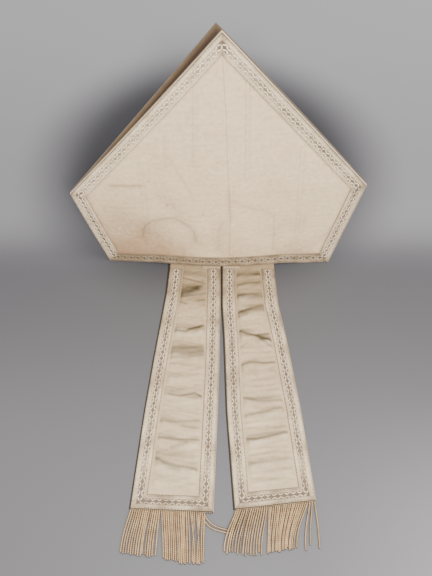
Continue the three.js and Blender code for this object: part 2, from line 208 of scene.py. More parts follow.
def shader_group(name, inputs, outputs):
    tree = bpy.data.node_groups.new(name, "ShaderNodeTree")
    for label, kind, value in inputs:
        socket = tree.interface.new_socket(label, in_out="INPUT", socket_type=kind)
        if value is not None:
            socket.default_value = value
    for label in outputs:
        tree.interface.new_socket(label, in_out="OUTPUT", socket_type="NodeSocketFloat")
    return tree, tree.nodes.new("NodeGroupInput"), tree.nodes.new("NodeGroupOutput")


def calc(tree, operation, *values, clamp=False):
    """A Math node; each value is a number or a socket. Gives its output socket."""
    node = tree.nodes.new("ShaderNodeMath")
    node.operation = operation
    node.use_clamp = clamp
    for socket, value in zip(node.inputs, values):
        if isinstance(value, bpy.types.NodeSocket):
            tree.links.new(value, socket)
        else:
            socket.default_value = value
    return node.outputs[0]


def spread(tree, value, low, high, to_low=0.0, to_high=1.0):
    """A Map Range node, clamped and smooth."""
    node = tree.nodes.new("ShaderNodeMapRange")
    node.interpolation_type = "SMOOTHSTEP"
    tree.links.new(value, node.inputs["Value"])
    for label, number in (("From Min", low), ("From Max", high), ("To Min", to_low), ("To Max", to_high)):
        node.inputs[label].default_value = number
    return node.outputs["Result"]


def blend_colours(tree, mask, first, second, strength=1.0):
    """Mixes two colours by a mask; each colour is a tuple or a socket."""
    node = tree.nodes.new("ShaderNodeMix")
    node.data_type = "RGBA"
    factor = calc(tree, "MULTIPLY", mask, strength, clamp=True)
    tree.links.new(factor, node.inputs[0])
    for socket, value in ((node.inputs[6], first), (node.inputs[7], second)):
        if isinstance(value, bpy.types.NodeSocket):
            tree.links.new(value, socket)
        else:
            socket.default_value = (*value, 1.0)
    return node.outputs[2]


def attribute(tree, name):
    node = tree.nodes.new("ShaderNodeAttribute")
    node.attribute_name = name
    return node.outputs["Fac"]


def vector(tree, x, y, z=0.0):
    node = tree.nodes.new("ShaderNodeCombineXYZ")
    for socket, value in zip(node.inputs, (x, y, z)):
        if isinstance(value, bpy.types.NodeSocket):
            tree.links.new(value, socket)
        else:
            socket.default_value = value
    return node.outputs[0]


def place_group(tree, group, **values):
    node = tree.nodes.new("ShaderNodeGroup")
    node.node_tree = group
    for label, value in values.items():
        socket = node.inputs[label.replace("_", " ")]
        if isinstance(value, bpy.types.NodeSocket):
            tree.links.new(value, socket)
        else:
            socket.default_value = value
    return node.outputs


def linear(red, green, blue):
    """A paint chart's 0 to 255 colour as the linear values that the shader takes."""
    def one(value):
        value /= 255
        return value / 12.92 if value <= 0.04045 else ((value + 0.055) / 1.055) ** 2.4
    return one(red), one(green), one(blue)


# %% The weave and ageing groups
weave, weave_in, weave_out = shader_group(
    "Plain weave",
    [("Vector", "NodeSocketVector", None), ("Threads per metre", "NodeSocketFloat", 1800.0),
     ("Warp share", "NodeSocketFloat", 0.5)],
    ["Height"],
)
scaled = weave.nodes.new("ShaderNodeVectorMath")
scaled.operation = "SCALE"
weave.links.new(weave_in.outputs["Vector"], scaled.inputs[0])
weave.links.new(weave_in.outputs["Threads per metre"], scaled.inputs["Scale"])
parts = weave.nodes.new("ShaderNodeSeparateXYZ")
weave.links.new(scaled.outputs[0], parts.inputs[0])
warp = calc(weave, "SINE", calc(weave, "MULTIPLY", parts.outputs[0], math.pi))
weft = calc(weave, "SINE", calc(weave, "MULTIPLY", parts.outputs[1], math.pi))
over = calc(weave, "GREATER_THAN", calc(weave, "MULTIPLY", warp, weft), 0.0)
warp_height = calc(weave, "MULTIPLY", calc(weave, "ABSOLUTE", warp), weave_in.outputs["Warp share"])
weft_share = calc(weave, "SUBTRACT", 1.0, weave_in.outputs["Warp share"])
weft_height = calc(weave, "MULTIPLY", calc(weave, "ABSOLUTE", weft), weft_share)
crossing = calc(weave, "MULTIPLY", over, calc(weave, "SUBTRACT", warp_height, weft_height))
weave.links.new(calc(weave, "ADD", weft_height, crossing), weave_out.inputs["Height"])

ageing, ageing_in, ageing_out = shader_group(
    "Ageing",
    [("Vector", "NodeSocketVector", None), ("Patches per metre", "NodeSocketFloat", 25.0),
     ("Contrast", "NodeSocketFloat", 0.5)],
    ["Mask"],
)
cloud = ageing.nodes.new("ShaderNodeTexNoise")
cloud.inputs["Detail"].default_value = 5.0
cloud.inputs["Roughness"].default_value = 0.62
ageing.links.new(ageing_in.outputs["Vector"], cloud.inputs["Vector"])
ageing.links.new(ageing_in.outputs["Patches per metre"], cloud.inputs["Scale"])
centred = calc(ageing, "SUBTRACT", cloud.outputs["Fac"], 0.5)
gain = calc(ageing, "MULTIPLY", ageing_in.outputs["Contrast"], 4.0)
aged = calc(ageing, "ADD", calc(ageing, "MULTIPLY", centred, gain), 0.5, clamp=True)
ageing.links.new(aged, ageing_out.inputs["Mask"])
print("shared groups:", weave.name, ageing.name)

# %% [markdown]
# Silk satin is soft and bright with a broad sheen. Its colour leans from cream to a pinkish brown where it is
# soiled and where shade is painted in. On the lappets, the shade of a fold that turns away from the light is
# painted in olive, because satin's long floats throw the light to one side. The marks come as named attributes
# from each piece's mesh, so a tide line, a painted shadow or a fold lies exactly where the cloth has it.

# %% Silk satin


def start_material(name):
    material = bpy.data.materials.new(name)
    material.use_nodes = True
    tree = material.node_tree
    shader = tree.nodes["Principled BSDF"]
    place = tree.nodes.new("ShaderNodeTexCoord").outputs["Object"]
    return material, tree, shader, place


def silk_material(name, plane, clean, soiled_and_shaded, streak):
    """plane names the two object axes that the warp and weft follow."""
    material, tree, shader, place = start_material(name)
    split = tree.nodes.new("ShaderNodeSeparateXYZ")
    tree.links.new(place, split.inputs[0])
    flat = vector(tree, split.outputs["XYZ".index(plane[0])], split.outputs["XYZ".index(plane[1])])
    patches = place_group(tree, ageing, Vector=flat, Patches_per_metre=22.0, Contrast=0.55)["Mask"]
    stretched = vector(
        tree,
        calc(tree, "MULTIPLY", split.outputs["XYZ".index(plane[0])], streak[0]),
        calc(tree, "MULTIPLY", split.outputs["XYZ".index(plane[1])], streak[1]),
    )
    slubs = place_group(tree, ageing, Vector=stretched, Patches_per_metre=100.0, Contrast=0.5)["Mask"]
    # Soil and painted shade, from the mesh, darken the cream towards brown.
    base = blend_colours(tree, calc(tree, "ADD", attribute(tree, "soil_and_shade"),
                                    spread(tree, patches, 0.3, 0.9, -0.05, 0.12)), clean, soiled_and_shaded)
    blotches = place_group(tree, ageing, Vector=flat, Patches_per_metre=190.0, Contrast=0.9)["Mask"]
    amount = spread(tree, attribute(tree, "soil_and_shade"), 0.05, 0.6, 0.22, 0.46)
    base = blend_colours(tree, calc(tree, "MULTIPLY", blotches, amount), base, linear(150, 110, 80))
    base = blend_colours(tree, slubs, base, linear(156, 134, 106), 0.28)
    # Painted shade of the lappets' folds, in olive.
    base = blend_colours(tree, attribute(tree, "painted_fold_shade"), base, linear(56, 46, 22))
    # Water tide lines, and painted shade beside seams and creases.
    base = blend_colours(tree, attribute(tree, "tide_marks_and_shade"), base, linear(92, 64, 44))
    # Dark specks, and near-black painted shadow lines along edges.
    base = blend_colours(tree, attribute(tree, "specks_and_edge_shadow"), base, linear(12, 8, 6))
    tree.links.new(base, shader.inputs["Base Color"])
    tree.links.new(spread(tree, patches, 0.2, 0.8, 0.42, 0.54), shader.inputs["Roughness"])
    shader.inputs["Sheen Weight"].default_value = 0.25
    shader.inputs["Sheen Roughness"].default_value = 0.4
    shader.inputs["Specular IOR Level"].default_value = 0.42
    threads = place_group(tree, weave, Vector=flat, Threads_per_metre=1900.0, Warp_share=0.4)["Height"]
    height = calc(tree, "ADD", calc(tree, "MULTIPLY", threads, 0.35), slubs)
    bump = tree.nodes.new("ShaderNodeBump")
    bump.inputs["Strength"].default_value = 0.22
    bump.inputs["Distance"].default_value = 0.0004
    tree.links.new(height, bump.inputs["Height"])
    tree.links.new(bump.outputs[0], shader.inputs["Normal"])
    return material


panel_silk = silk_material("Panel silk", "XZ", linear(232, 209, 169), linear(162, 122, 84), (0.4, 2.2))
lappet_silk = silk_material("Lappet silk", "XY", linear(204, 184, 149), linear(112, 97, 64), (0.35, 2.6))

# %% [markdown]
# The lining and the gusset are a tan cloth with a soft bloom. Its marks are the weave and patches where it has
# faded, and painted shade that deepens down into the gusset's fold.

# %% Tan lining


def lining_material():
    material, tree, shader, place = start_material("Tan lining")
    patches = place_group(tree, ageing, Vector=place, Patches_per_metre=35.0, Contrast=0.6)["Mask"]
    split = tree.nodes.new("ShaderNodeSeparateXYZ")
    tree.links.new(place, split.inputs[0])
    flat = vector(tree, split.outputs[0], split.outputs[2])
    base = blend_colours(tree, patches, linear(106, 86, 60), linear(84, 66, 42))
    # Painted shade: the lining darkens with the fold's depth in the gusset, and a little on the panels' inner
    # faces.
    base = blend_colours(tree, attribute(tree, "depth"), base, linear(58, 38, 18), 0.95)
    tree.links.new(base, shader.inputs["Base Color"])
    tree.links.new(spread(tree, patches, 0.2, 0.8, 0.5, 0.62), shader.inputs["Roughness"])
    shader.inputs["Sheen Weight"].default_value = 0.3
    threads = place_group(tree, weave, Vector=flat, Threads_per_metre=1300.0, Warp_share=0.5)["Height"]
    bump = tree.nodes.new("ShaderNodeBump")
    bump.inputs["Strength"].default_value = 0.35
    bump.inputs["Distance"].default_value = 0.0004
    tree.links.new(calc(tree, "ADD", threads, patches), bump.inputs["Height"])
    tree.links.new(bump.outputs[0], shader.inputs["Normal"])
    return material


lining = lining_material()

# %% [markdown]
# Galloon is a narrow woven braid. Its ground is a fine rib, with a stripe of painted shade under the row of
# knots, a duller one on each side of it, a dark worn outer edge and a line of painted shade along the inner
# edge. The band's own UV map runs in repeats along it and from 0 at the outer edge to 1 at the inner one, so
# one material serves every band and its painted shade always sits under the knots.

# %% Woven galloon
BAND_WIDTH = 16.5
KNOT_ROW = 8.8  # millimetres from the band's outer edge to the middle of its knots


def soil_and_shade_colour(tree, clean, soiled_and_shaded, mask):
    return blend_colours(tree, calc(tree, "ADD", attribute(tree, "soil_and_shade"), mask), clean, soiled_and_shaded)


def galloon_material():
    material, tree, shader, place = start_material("Woven galloon")
    uv = tree.nodes.new("ShaderNodeUVMap")
    uv.uv_map = "band"
    split = tree.nodes.new("ShaderNodeSeparateXYZ")
    tree.links.new(uv.outputs[0], split.inputs[0])
    along, across = split.outputs[0], split.outputs[1]
    sideways = calc(tree, "ABSOLUTE", calc(tree, "SUBTRACT", across, KNOT_ROW / BAND_WIDTH))
    wear_and_shade = spread(tree, attribute(tree, "soil_and_shade"), 0.0, 0.35, 0.5, 1.0)
    # Painted shade under the knots, deeper where the band is darker.
    shade_under_knots = calc(tree, "MULTIPLY", spread(tree, sideways, 0.19, 0.215, 1.0, 0.0), wear_and_shade)
    beside_knots = spread(tree, sideways, 0.27, 0.30, 1.0, 0.0)
    margins = spread(tree, across, 0.9, 0.94, 0.0, 1.0)
    # Painted shade along the inner edge, where the band steps down to the silk.
    inner_edge_shade = spread(tree, across, 0.95, 0.975, 0.0, 1.0)
    outer_edge = spread(tree, across, 0.02, 0.05, 1.0, 0.0)
    patches = place_group(tree, ageing, Vector=place, Patches_per_metre=70.0, Contrast=0.7)["Mask"]
    base = soil_and_shade_colour(tree, linear(230, 209, 174), linear(108, 88, 60),
                         spread(tree, patches, 0.3, 0.9, -0.04, 0.16))
    flecks = place_group(tree, ageing, Vector=place, Patches_per_metre=420.0, Contrast=1.0)["Mask"]
    base = blend_colours(tree, spread(tree, flecks, 0.5, 0.9), base, linear(132, 102, 74), 0.34)
    base = blend_colours(tree, beside_knots, base, linear(186, 160, 126), 0.3)
    base = blend_colours(tree, shade_under_knots, base, linear(78, 65, 52), 0.84)
    base = blend_colours(tree, margins, base, linear(150, 122, 90), 0.2)
    base = blend_colours(tree, inner_edge_shade, base, linear(112, 88, 60), 0.75)
    base = blend_colours(tree, calc(tree, "MULTIPLY", outer_edge, wear_and_shade), base, linear(52, 34, 20), 0.9)
    tree.links.new(base, shader.inputs["Base Color"])
    tree.links.new(spread(tree, patches, 0.2, 0.8, 0.42, 0.56), shader.inputs["Roughness"])
    shader.inputs["Sheen Weight"].default_value = 0.2
    threads = place_group(
        tree, weave, Vector=vector(tree, along, calc(tree, "MULTIPLY", across, 0.92)),
        Threads_per_metre=26.0, Warp_share=0.65,
    )["Height"]
    bump = tree.nodes.new("ShaderNodeBump")
    bump.inputs["Strength"].default_value = 0.5
    bump.inputs["Distance"].default_value = 0.0005
    tree.links.new(threads, bump.inputs["Height"])
    tree.links.new(bump.outputs[0], shader.inputs["Normal"])
    return material


galloon = galloon_material()

# %% [markdown]
# The knots are a brighter, smoother silk thread that catches small glints. The sewing thread is a dull brown.
# Both take the soil and painted shade of the band that they lie on, through the same attribute.

# %% Knot silk and sewing thread


def thread_material(name, clean, soiled_and_shaded, roughness, specular):
    material, tree, shader, place = start_material(name)
    patches = place_group(tree, ageing, Vector=place, Patches_per_metre=90.0, Contrast=0.8)["Mask"]
    base = soil_and_shade_colour(tree, clean, soiled_and_shaded, spread(tree, patches, 0.25, 0.9, -0.05, 0.3))
    tree.links.new(base, shader.inputs["Base Color"])
    tree.links.new(spread(tree, patches, 0.2, 0.8, roughness, roughness + 0.14), shader.inputs["Roughness"])
    shader.inputs["Specular IOR Level"].default_value = specular
    strands = tree.nodes.new("ShaderNodeTexNoise")
    strands.inputs["Scale"].default_value = 1600.0
    tree.links.new(place, strands.inputs["Vector"])
    bump = tree.nodes.new("ShaderNodeBump")
    bump.inputs["Strength"].default_value = 0.3
    bump.inputs["Distance"].default_value = 0.0003
    tree.links.new(strands.outputs["Fac"], bump.inputs["Height"])
    tree.links.new(bump.outputs[0], shader.inputs["Normal"])
    return material


knot_silk = thread_material("Knot silk", linear(238, 219, 186), linear(136, 112, 80), 0.26, 0.8)
sewing_thread = thread_material("Sewing thread", linear(150, 124, 92), linear(96, 72, 46), 0.6, 0.3)

# %% [markdown]
# Bullion is a cord of silk and gilt thread twisted tightly on itself. The hollow between its two strands is
# painted darker as shade, so the material reads the attribute that the cord's section stores, and the tips are
# darker than the heads. Low on each side, where a cord lies against its neighbours, it is painted nearly black
# as shade. The height of the cord's own path, stored as `level`, tells where that begins.

# %% Twisted bullion


def bullion_material():
    material, tree, shader, place = start_material("Bullion")
    patches = place_group(tree, ageing, Vector=place, Patches_per_metre=120.0, Contrast=0.7)["Mask"]
    base = blend_colours(tree, patches, linear(208, 174, 126), linear(166, 130, 84))
    base = blend_colours(tree, attribute(tree, "down"), base, linear(150, 122, 90), 0.35)
    # Painted shade in the hollow between the two strands.
    groove = spread(tree, attribute(tree, "lobe"), 0.1, 0.55, 1.0, 0.0)
    base = blend_colours(tree, groove, base, linear(120, 88, 54), 0.45)
    split = tree.nodes.new("ShaderNodeSeparateXYZ")
    tree.links.new(place, split.inputs[0])
    # Painted shade low on each side of the cord.
    above = calc(tree, "SUBTRACT", split.outputs[2], attribute(tree, "level"))
    painted_side_shade = spread(tree, above, 0.00042, 0.00100, 1.0, 0.0)
    base = blend_colours(tree, painted_side_shade, base, linear(30, 16, 6), 0.97)
    tree.links.new(base, shader.inputs["Base Color"])
    tree.links.new(spread(tree, patches, 0.2, 0.8, 0.34, 0.46), shader.inputs["Roughness"])
    shader.inputs["Specular IOR Level"].default_value = 0.6
    shader.inputs["Sheen Weight"].default_value = 0.1
    strands = tree.nodes.new("ShaderNodeTexNoise")
    strands.inputs["Scale"].default_value = 2200.0
    tree.links.new(place, strands.inputs["Vector"])
    bump = tree.nodes.new("ShaderNodeBump")
    bump.inputs["Strength"].default_value = 0.3
    bump.inputs["Distance"].default_value = 0.0003
    tree.links.new(strands.outputs["Fac"], bump.inputs["Height"])
    tree.links.new(bump.outputs[0], shader.inputs["Normal"])
    return material


bullion = bullion_material()
print("finishes:", [m.name for m in bpy.data.materials if m.users or m.use_nodes][:12])

# %% [markdown]
# ## The panels
# Each panel is a flat pattern piece with five corners: two at the hem, two wide corners and the
# horn's tip. Stiffened silk bends in one direction only, so its surface can be written as a depth y
# over the pattern's x and z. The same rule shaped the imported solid, and the finer mesh follows it.

# %% The panels' surface
HEM_LEFT = (-144.0, -13.5, 0.0)
HEM_RIGHT = (144.0, -16.0, 0.0)
WIDE_LEFT = (WIDE_LEFT_X, -4.5, 124.0)
WIDE_RIGHT = (177.5, 4.5, 129.0)
BACK_TIP = (2.0, 32.0, 332.0)
FRONT_TIP = (-4.0, 32.0, 332.5)
HORN_GAP = 9.5
PANEL_WALL = 2.0
SEAM_HALF = 1.2  # from the side seam's middle plane to the middle of each panel's wall

# centre x, z, long and wide half sizes, turn in degrees, depth
BACK_DENTS = [
    (-66, 108, 34, 11, -58, 1.6),
    (-104, 62, 40, 16, -20, 1.4),
    (36, 150, 60, 9, 88, 0.9),
    (-36, 160, 55, 9, 90, 0.9),
    (70, 52, 42, 18, 8, 1.2),
]
BACK = {"side": -1, "tip": BACK_TIP, "hem": 10.0, "widest": 9.5, "dents": BACK_DENTS}
FRONT = {"side": 1, "tip": FRONT_TIP, "hem": 40.0, "widest": 25.0, "dents": []}


def edge_at(base, wide, tip, z):
    """x and y of a panel's side edge at height z."""
    z = np.asarray(z, float)
    x = np.where(
        z < wide[2],
        mix(base[0], wide[0], (z - base[2]) / (wide[2] - base[2])),
        mix(wide[0], tip[0], (z - wide[2]) / (tip[2] - wide[2])),
    )
    lower = (wide[1] - base[1]) / (wide[2] - base[2])
    upper = (tip[1] - wide[1]) / (tip[2] - wide[2])
    bend = (upper - lower) / (tip[2] - base[2])
    return x, base[1] + (z - base[2]) * (lower + bend * (z - wide[2]))


def horn_gap(z):
    wide = (WIDE_LEFT[2] + WIDE_RIGHT[2]) / 2
    rise = np.clip((z - wide) / (BACK_TIP[2] - wide), 0, 1)
    return HORN_GAP * (1 - (1 - rise) ** 2)


def panel_y(panel, x, z):
    """y of the middle of a panel's wall."""
    x, z = np.asarray(x, float), np.asarray(z, float)
    left_x, left_y = edge_at(HEM_LEFT, WIDE_LEFT, panel["tip"], z)
    right_x, right_y = edge_at(HEM_RIGHT, WIDE_RIGHT, panel["tip"], z)
    width = right_x - left_x
    share = np.where(width > 1e-6, np.clip((x - left_x) / np.maximum(width, 1e-6), 0, 1), 0.5)
    arch = np.sin(np.pi * share) ** 2
    full = WIDE_RIGHT[0] - WIDE_LEFT[0]
    stand = np.where(
        z < WIDE_LEFT[2],
        mix(panel["hem"], panel["widest"], z / WIDE_LEFT[2]),
        panel["widest"] * smooth_step(width / full),
    )
    dented = 0.0
    for cx, cz, long, wide, turn, depth in panel["dents"]:
        angle = math.radians(turn)
        along = (x - cx) * math.cos(angle) + (z - cz) * math.sin(angle)
        across = (z - cz) * math.cos(angle) - (x - cx) * math.sin(angle)
        dented = dented + depth * np.exp(-((along / long) ** 2) - (across / wide) ** 2)
    parted = horn_gap(z) if panel["side"] > 0 else 0.0
    return mix(left_y, right_y, share) + panel["side"] * (SEAM_HALF + stand * arch - dented * arch) + parted


def outward(panel, x, z):
    """The unit normal of a panel's outer face."""
    step = 0.5
    slope_x = (panel_y(panel, x + step, z) - panel_y(panel, x - step, z)) / (2 * step)
    slope_z = (panel_y(panel, x, z + step) - panel_y(panel, x, z - step)) / (2 * step)
    normal = np.stack([-slope_x, np.ones_like(slope_x), -slope_z], -1) * panel["side"]
    return normal / np.linalg.norm(normal, axis=-1, keepdims=True)


def hem_lift(x):
    """How far the back hem rides up over the lappets."""
    return 2.6 * smooth_step((x + 72) / 40 + 1) * smooth_step((77 - x) / 40 + 1)


print("depth of the hollow at the hem, mm:", round(float(panel_y(FRONT, 0, 2) - panel_y(BACK, 0, 2)), 1))

# %% [markdown]
# The back panel shows most. It is pieced from two lengths of silk that meet in an upright seam, and it carries
# the marks of storage: long upright creases, water rings, specks and a soiled lower corner. The grid's columns
# crowd together at the seam, so a ridge a millimetre wide gets enough points without a finer mesh everywhere.
# Creases and seam are real relief, and the rings and soil are stored as attributes for the silk to read, with
# painted shade beside the creases, the seam and the galloon and along the hem.

# %% The back panel
SEAM_LINE = [(330, 2.2), (306, 3.3), (230, 8.1), (178, 9.8), (129, 12.7), (86, 14.5), (22, 14.1), (0, 14.0)]
SEAM_ZONE = 2.6

# The upright and slanting creases: two ends, half width and how far each stands out.
CREASES = [
    ((-26.4, 271), (-28.1, 170), 2.2, 0.55),
    ((30.0, 278), (33.0, 150), 2.2, 0.5),
    ((-60.4, 208), (-61.6, 170), 2.0, 0.4),
    ((-59.2, 178), (-35.1, 126), 2.6, -0.5),
    ((-92, 170), (-90, 60), 2.4, 0.15),
    ((96, 190), (99, 40), 2.4, 0.12),
]
WATER_RINGS = [
    ([(-97.5, 52), (-92, 72), (-75.9, 83.9), (-53.5, 85.5), (-34.0, 69.1), (-29.4, 47)], 1.0),
    ([(15.3, 119.0), (32.5, 106.6), (62.5, 94.0), (68.1, 81.6), (69.7, 28.2)], 0.5),
    ([(8.3, 86.5), (-0.2, 69.5), (-1.4, 33.5)], 0.45),
]
SPECKS = [(-62.8, 108.6, 1.3), (17.3, 139.3, 1.0), (-2.8, 176.1, 0.8), (-149.5, 143.0, 1.2),
          (-20, 96, 0.7), (44, 66, 0.7), (-118, 92, 0.8), (84, 120, 0.7), (-84, 146, 0.8)]


def inside_border(panel, x, z):
    """Distance from the panel's outline, inwards."""
    corners = [HEM_LEFT, HEM_RIGHT, WIDE_RIGHT, panel["tip"], WIDE_LEFT]
    nearest = np.full(np.shape(x), 1e9)
    for a, b in zip(corners, corners[1:] + corners[:1]):
        dx, dz = b[0] - a[0], b[2] - a[2]
        distance = ((z - a[2]) * dx - (x - a[0]) * dz) / math.hypot(dx, dz)
        nearest = np.minimum(nearest, distance)
    return nearest


def panel_columns(left, right, seam, outer_count, seam_count):
    """x of each column in one row: even on both sides of the seam, close together at it."""
    zone = min(SEAM_ZONE, 0.12 * (right - left))
    return np.concatenate([
        np.linspace(left, seam - zone, outer_count, endpoint=False),
        np.linspace(seam - zone, seam + zone, seam_count, endpoint=False),
        np.linspace(seam + zone, right, outer_count + 1),
    ])


def back_relief(x, z, seam):
    """How far the silk stands out from the plain panel, in millimetres."""
    free = smooth_step((inside_border(BACK, x, z) - 17.0) / 7.0)
    relief = 0.30 * ripple(x, z, 95, 130, 3) + 0.10 * ripple(x, z, 26, 60, 4)
    for start, end, half, height in CREASES:
        relief = relief + height * np.exp(-((from_line(x, z, [start, end]) / half) ** 2))
    ridge = 0.26 * np.exp(-(((x - seam - 0.35) / 0.9) ** 2))
    groove = -0.16 * np.exp(-(((x - seam + 1.0) / 0.5) ** 2))
    pucker = 0.10 * np.sin(z * 2 * np.pi / 7.5) * np.exp(-np.abs(x - seam) / 4)
    return free * (relief + ridge + groove + pucker) - 0.12 * (1 - free)


def back_marks(x, z, seam):
    depth = inside_border(BACK, x, z)
    uneven = ripple(x, z, 60, 60, 11)
    soil_and_shade = 0.62 * np.exp(-(((x + 112) / 62) ** 2) - ((z - 18) / 62) ** 2)
    # Darker along the hem: painted shade, where the standing panel gets less light.
    soil_and_shade += 0.22 * np.exp(-((z - 10) / 46) ** 2) * (1 + 0.35 * uneven)
    soil_and_shade += 0.12 * np.exp(-(((x + 150) / 50) ** 2) - ((z - 115) / 40) ** 2)
    soil_and_shade += 0.16 * np.exp(-((from_line(x, z, [(-127.8, 136.7), (-94.3, 138.3)]) / 4.5) ** 2))
    soil_and_shade += 0.20 * np.exp(-((from_line(x, z, [(10.3, 135), (14.5, 86)]) / 3.0) ** 2))
    soil_and_shade += 0.10 * np.exp(-((from_line(x, z, [(-149.9, 110.5), (-118, 100)]) / 6.0) ** 2)) * (1 + uneven)
    # A thin line of painted shade runs just inside the galloon's inner edge.
    soil_and_shade += 0.04 * uneven + 0.16 * np.exp(-((depth - 17.5) / 2.2) ** 2)
    tide_marks_and_shade = np.zeros_like(x)
    for line, strength in WATER_RINGS:
        apart = from_line(x, z, rounded(line))
        tide_marks_and_shade = np.maximum(tide_marks_and_shade, 0.46 * strength * np.exp(-((apart / 1.5) ** 2)))
        tide_marks_and_shade = np.maximum(tide_marks_and_shade, 0.14 * strength * np.exp(-((apart / 6.0) ** 2)))
    tide_marks_and_shade += 0.34 * np.exp(-((from_line(x, z, [(-127.8, 136.7), (-94.3, 138.3)]) / 1.6) ** 2))
    # Painted shade along both sides of each crease and on the seam's left side.
    for start, end, half, _ in CREASES:
        tide_marks_and_shade += 0.13 * np.exp(-(((from_line(x, z, [start, end]) - half) / 1.0) ** 2))
    tide_marks_and_shade += 0.2 * np.exp(-(((x - seam + 0.9) / 0.8) ** 2)) * np.clip((depth - 16) / 4, 0, 1)
    specks_and_edge_shadow = np.zeros_like(x)
    for sx, sz, radius in SPECKS:
        specks_and_edge_shadow = np.maximum(specks_and_edge_shadow, 0.8 * np.exp(-(np.hypot(x - sx, z - sz) / radius) ** 2))
    return {"soil_and_shade": np.clip(soil_and_shade, 0, 1), "tide_marks_and_shade": np.clip(tide_marks_and_shade, 0, 1), "specks_and_edge_shadow": specks_and_edge_shadow,
            "painted_fold_shade": np.zeros_like(x), "depth": np.zeros_like(x) + 0.2}


def row_heights(tip_z, below, above):
    return np.concatenate([
        np.linspace(0, WIDE_LEFT[2], below, endpoint=False),
        np.linspace(WIDE_LEFT[2], WIDE_RIGHT[2], 4, endpoint=False),
        np.linspace(WIDE_RIGHT[2], tip_z, above),
    ])


def back_panel_mesh():
    seam_z, seam_x = zip(*SEAM_LINE[::-1])
    heights = row_heights(BACK_TIP[2], 66, 110)
    columns, rows = [], []
    for z in heights:
        left = edge_at(HEM_LEFT, WIDE_LEFT, BACK_TIP, z)[0]
        right = edge_at(HEM_RIGHT, WIDE_RIGHT, BACK_TIP, z)[0]
        seam = float(np.clip(np.interp(z, seam_z, seam_x), mix(left, right, 0.3), mix(left, right, 0.7)))
        columns.append(panel_columns(float(left), float(right), seam, 88, 12))
        rows.append(np.full(len(columns[-1]), z))
    x, z = np.array(columns), np.array(rows)
    seam = np.interp(z, seam_z, seam_x)
    lifted = np.where(z < 14, z + hem_lift(x) * (1 - z / 14), z)
    middle = panel_y(BACK, x, lifted)
    outer = middle - PANEL_WALL / 2 - back_relief(x, z, seam)
    inner = middle + PANEL_WALL / 2
    face = np.stack([x, outer, lifted], -1)
    back = np.stack([x, inner, lifted], -1)
    return shell_mesh("back_panel_silk", face, back, back_marks(x, z, seam))


back_panel = add_piece("back_panel_silk", back_panel_mesh(), [panel_silk, lining], ["back_panel"])

# %% [markdown]
# The front panel is the same cut with a plain face. It stands out further at the hem, because that
# is where a stiffened mitre springs open by itself.

# %% The front panel


def front_panel_mesh():
    heights = row_heights(FRONT_TIP[2], 40, 70)
    x, z = [], []
    for height in heights:
        left = float(edge_at(HEM_LEFT, WIDE_LEFT, FRONT_TIP, height)[0])
        right = float(edge_at(HEM_RIGHT, WIDE_RIGHT, FRONT_TIP, height)[0])
        x.append(panel_columns(left, right, mix(left, right, 0.5), 52, 10))
        z.append(np.full(len(x[-1]), height))
    x, z = np.array(x), np.array(z)
    left = edge_at(HEM_LEFT, WIDE_LEFT, FRONT_TIP, z)[0]
    right = edge_at(HEM_RIGHT, WIDE_RIGHT, FRONT_TIP, z)[0]
    seam = mix(left, right, 0.5)
    free = smooth_step((inside_border(FRONT, x, z) - 17.0) / 7.0)
    relief = 0.3 * ripple(x, z, 90, 120, 21) + 0.1 * ripple(x, z, 30, 60, 22)
    relief = relief + 0.4 * np.exp(-(((x - seam - 0.35) / 0.75) ** 2))
    outer = panel_y(FRONT, x, z) + PANEL_WALL / 2 + free * relief - 0.12 * (1 - free)
    inner = panel_y(FRONT, x, z) - PANEL_WALL / 2
    uneven = ripple(x, z, 60, 60, 23)
    # Darker along the hem: painted shade, as on the back panel.
    soil_and_shade = 0.10 + 0.14 * np.exp(-((z - 8) / 40) ** 2) + 0.05 * uneven
    # The panel is darkened at its rim, near-black at the very edge.
    soil_and_shade = soil_and_shade + 0.75 * np.exp(-((inside_border(FRONT, x, z) / 2.5) ** 2))
    # Painted shade on the seam's left side.
    tide_marks_and_shade = 0.3 * np.exp(-(((x - seam + 0.9) / 0.8) ** 2)) * free
    zero = np.zeros_like(x)
    darkened_rim = 0.7 * np.exp(-((inside_border(FRONT, x, z) / 1.6) ** 2))
    marks = {"soil_and_shade": np.clip(soil_and_shade, 0, 1), "tide_marks_and_shade": tide_marks_and_shade, "specks_and_edge_shadow": darkened_rim, "painted_fold_shade": zero, "depth": zero + 0.2}
    return shell_mesh("front_panel_silk", np.stack([x, outer, z], -1), np.stack([x, inner, z], -1), marks)


front_panel = add_piece("front_panel_silk", front_panel_mesh(), [panel_silk, lining], ["front_panel"])

# %% [markdown]
# ## The gusset
# A soft tan cloth joins the two horns and folds down between them, so that the mitre can fold flat.
# Its path runs down the back horn, round a half turn and up the front horn. The fold's depth is stored on the
# mesh as an attribute, so that the lining can paint shade into the valley.

# %% The gusset between the horns
GUSSET_WALL = 0.8
GUSSET_REACH = PANEL_WALL / 2 + 0.35 + GUSSET_WALL / 2  # from a panel's middle to the cloth's middle
LEG_SHARE = 0.36


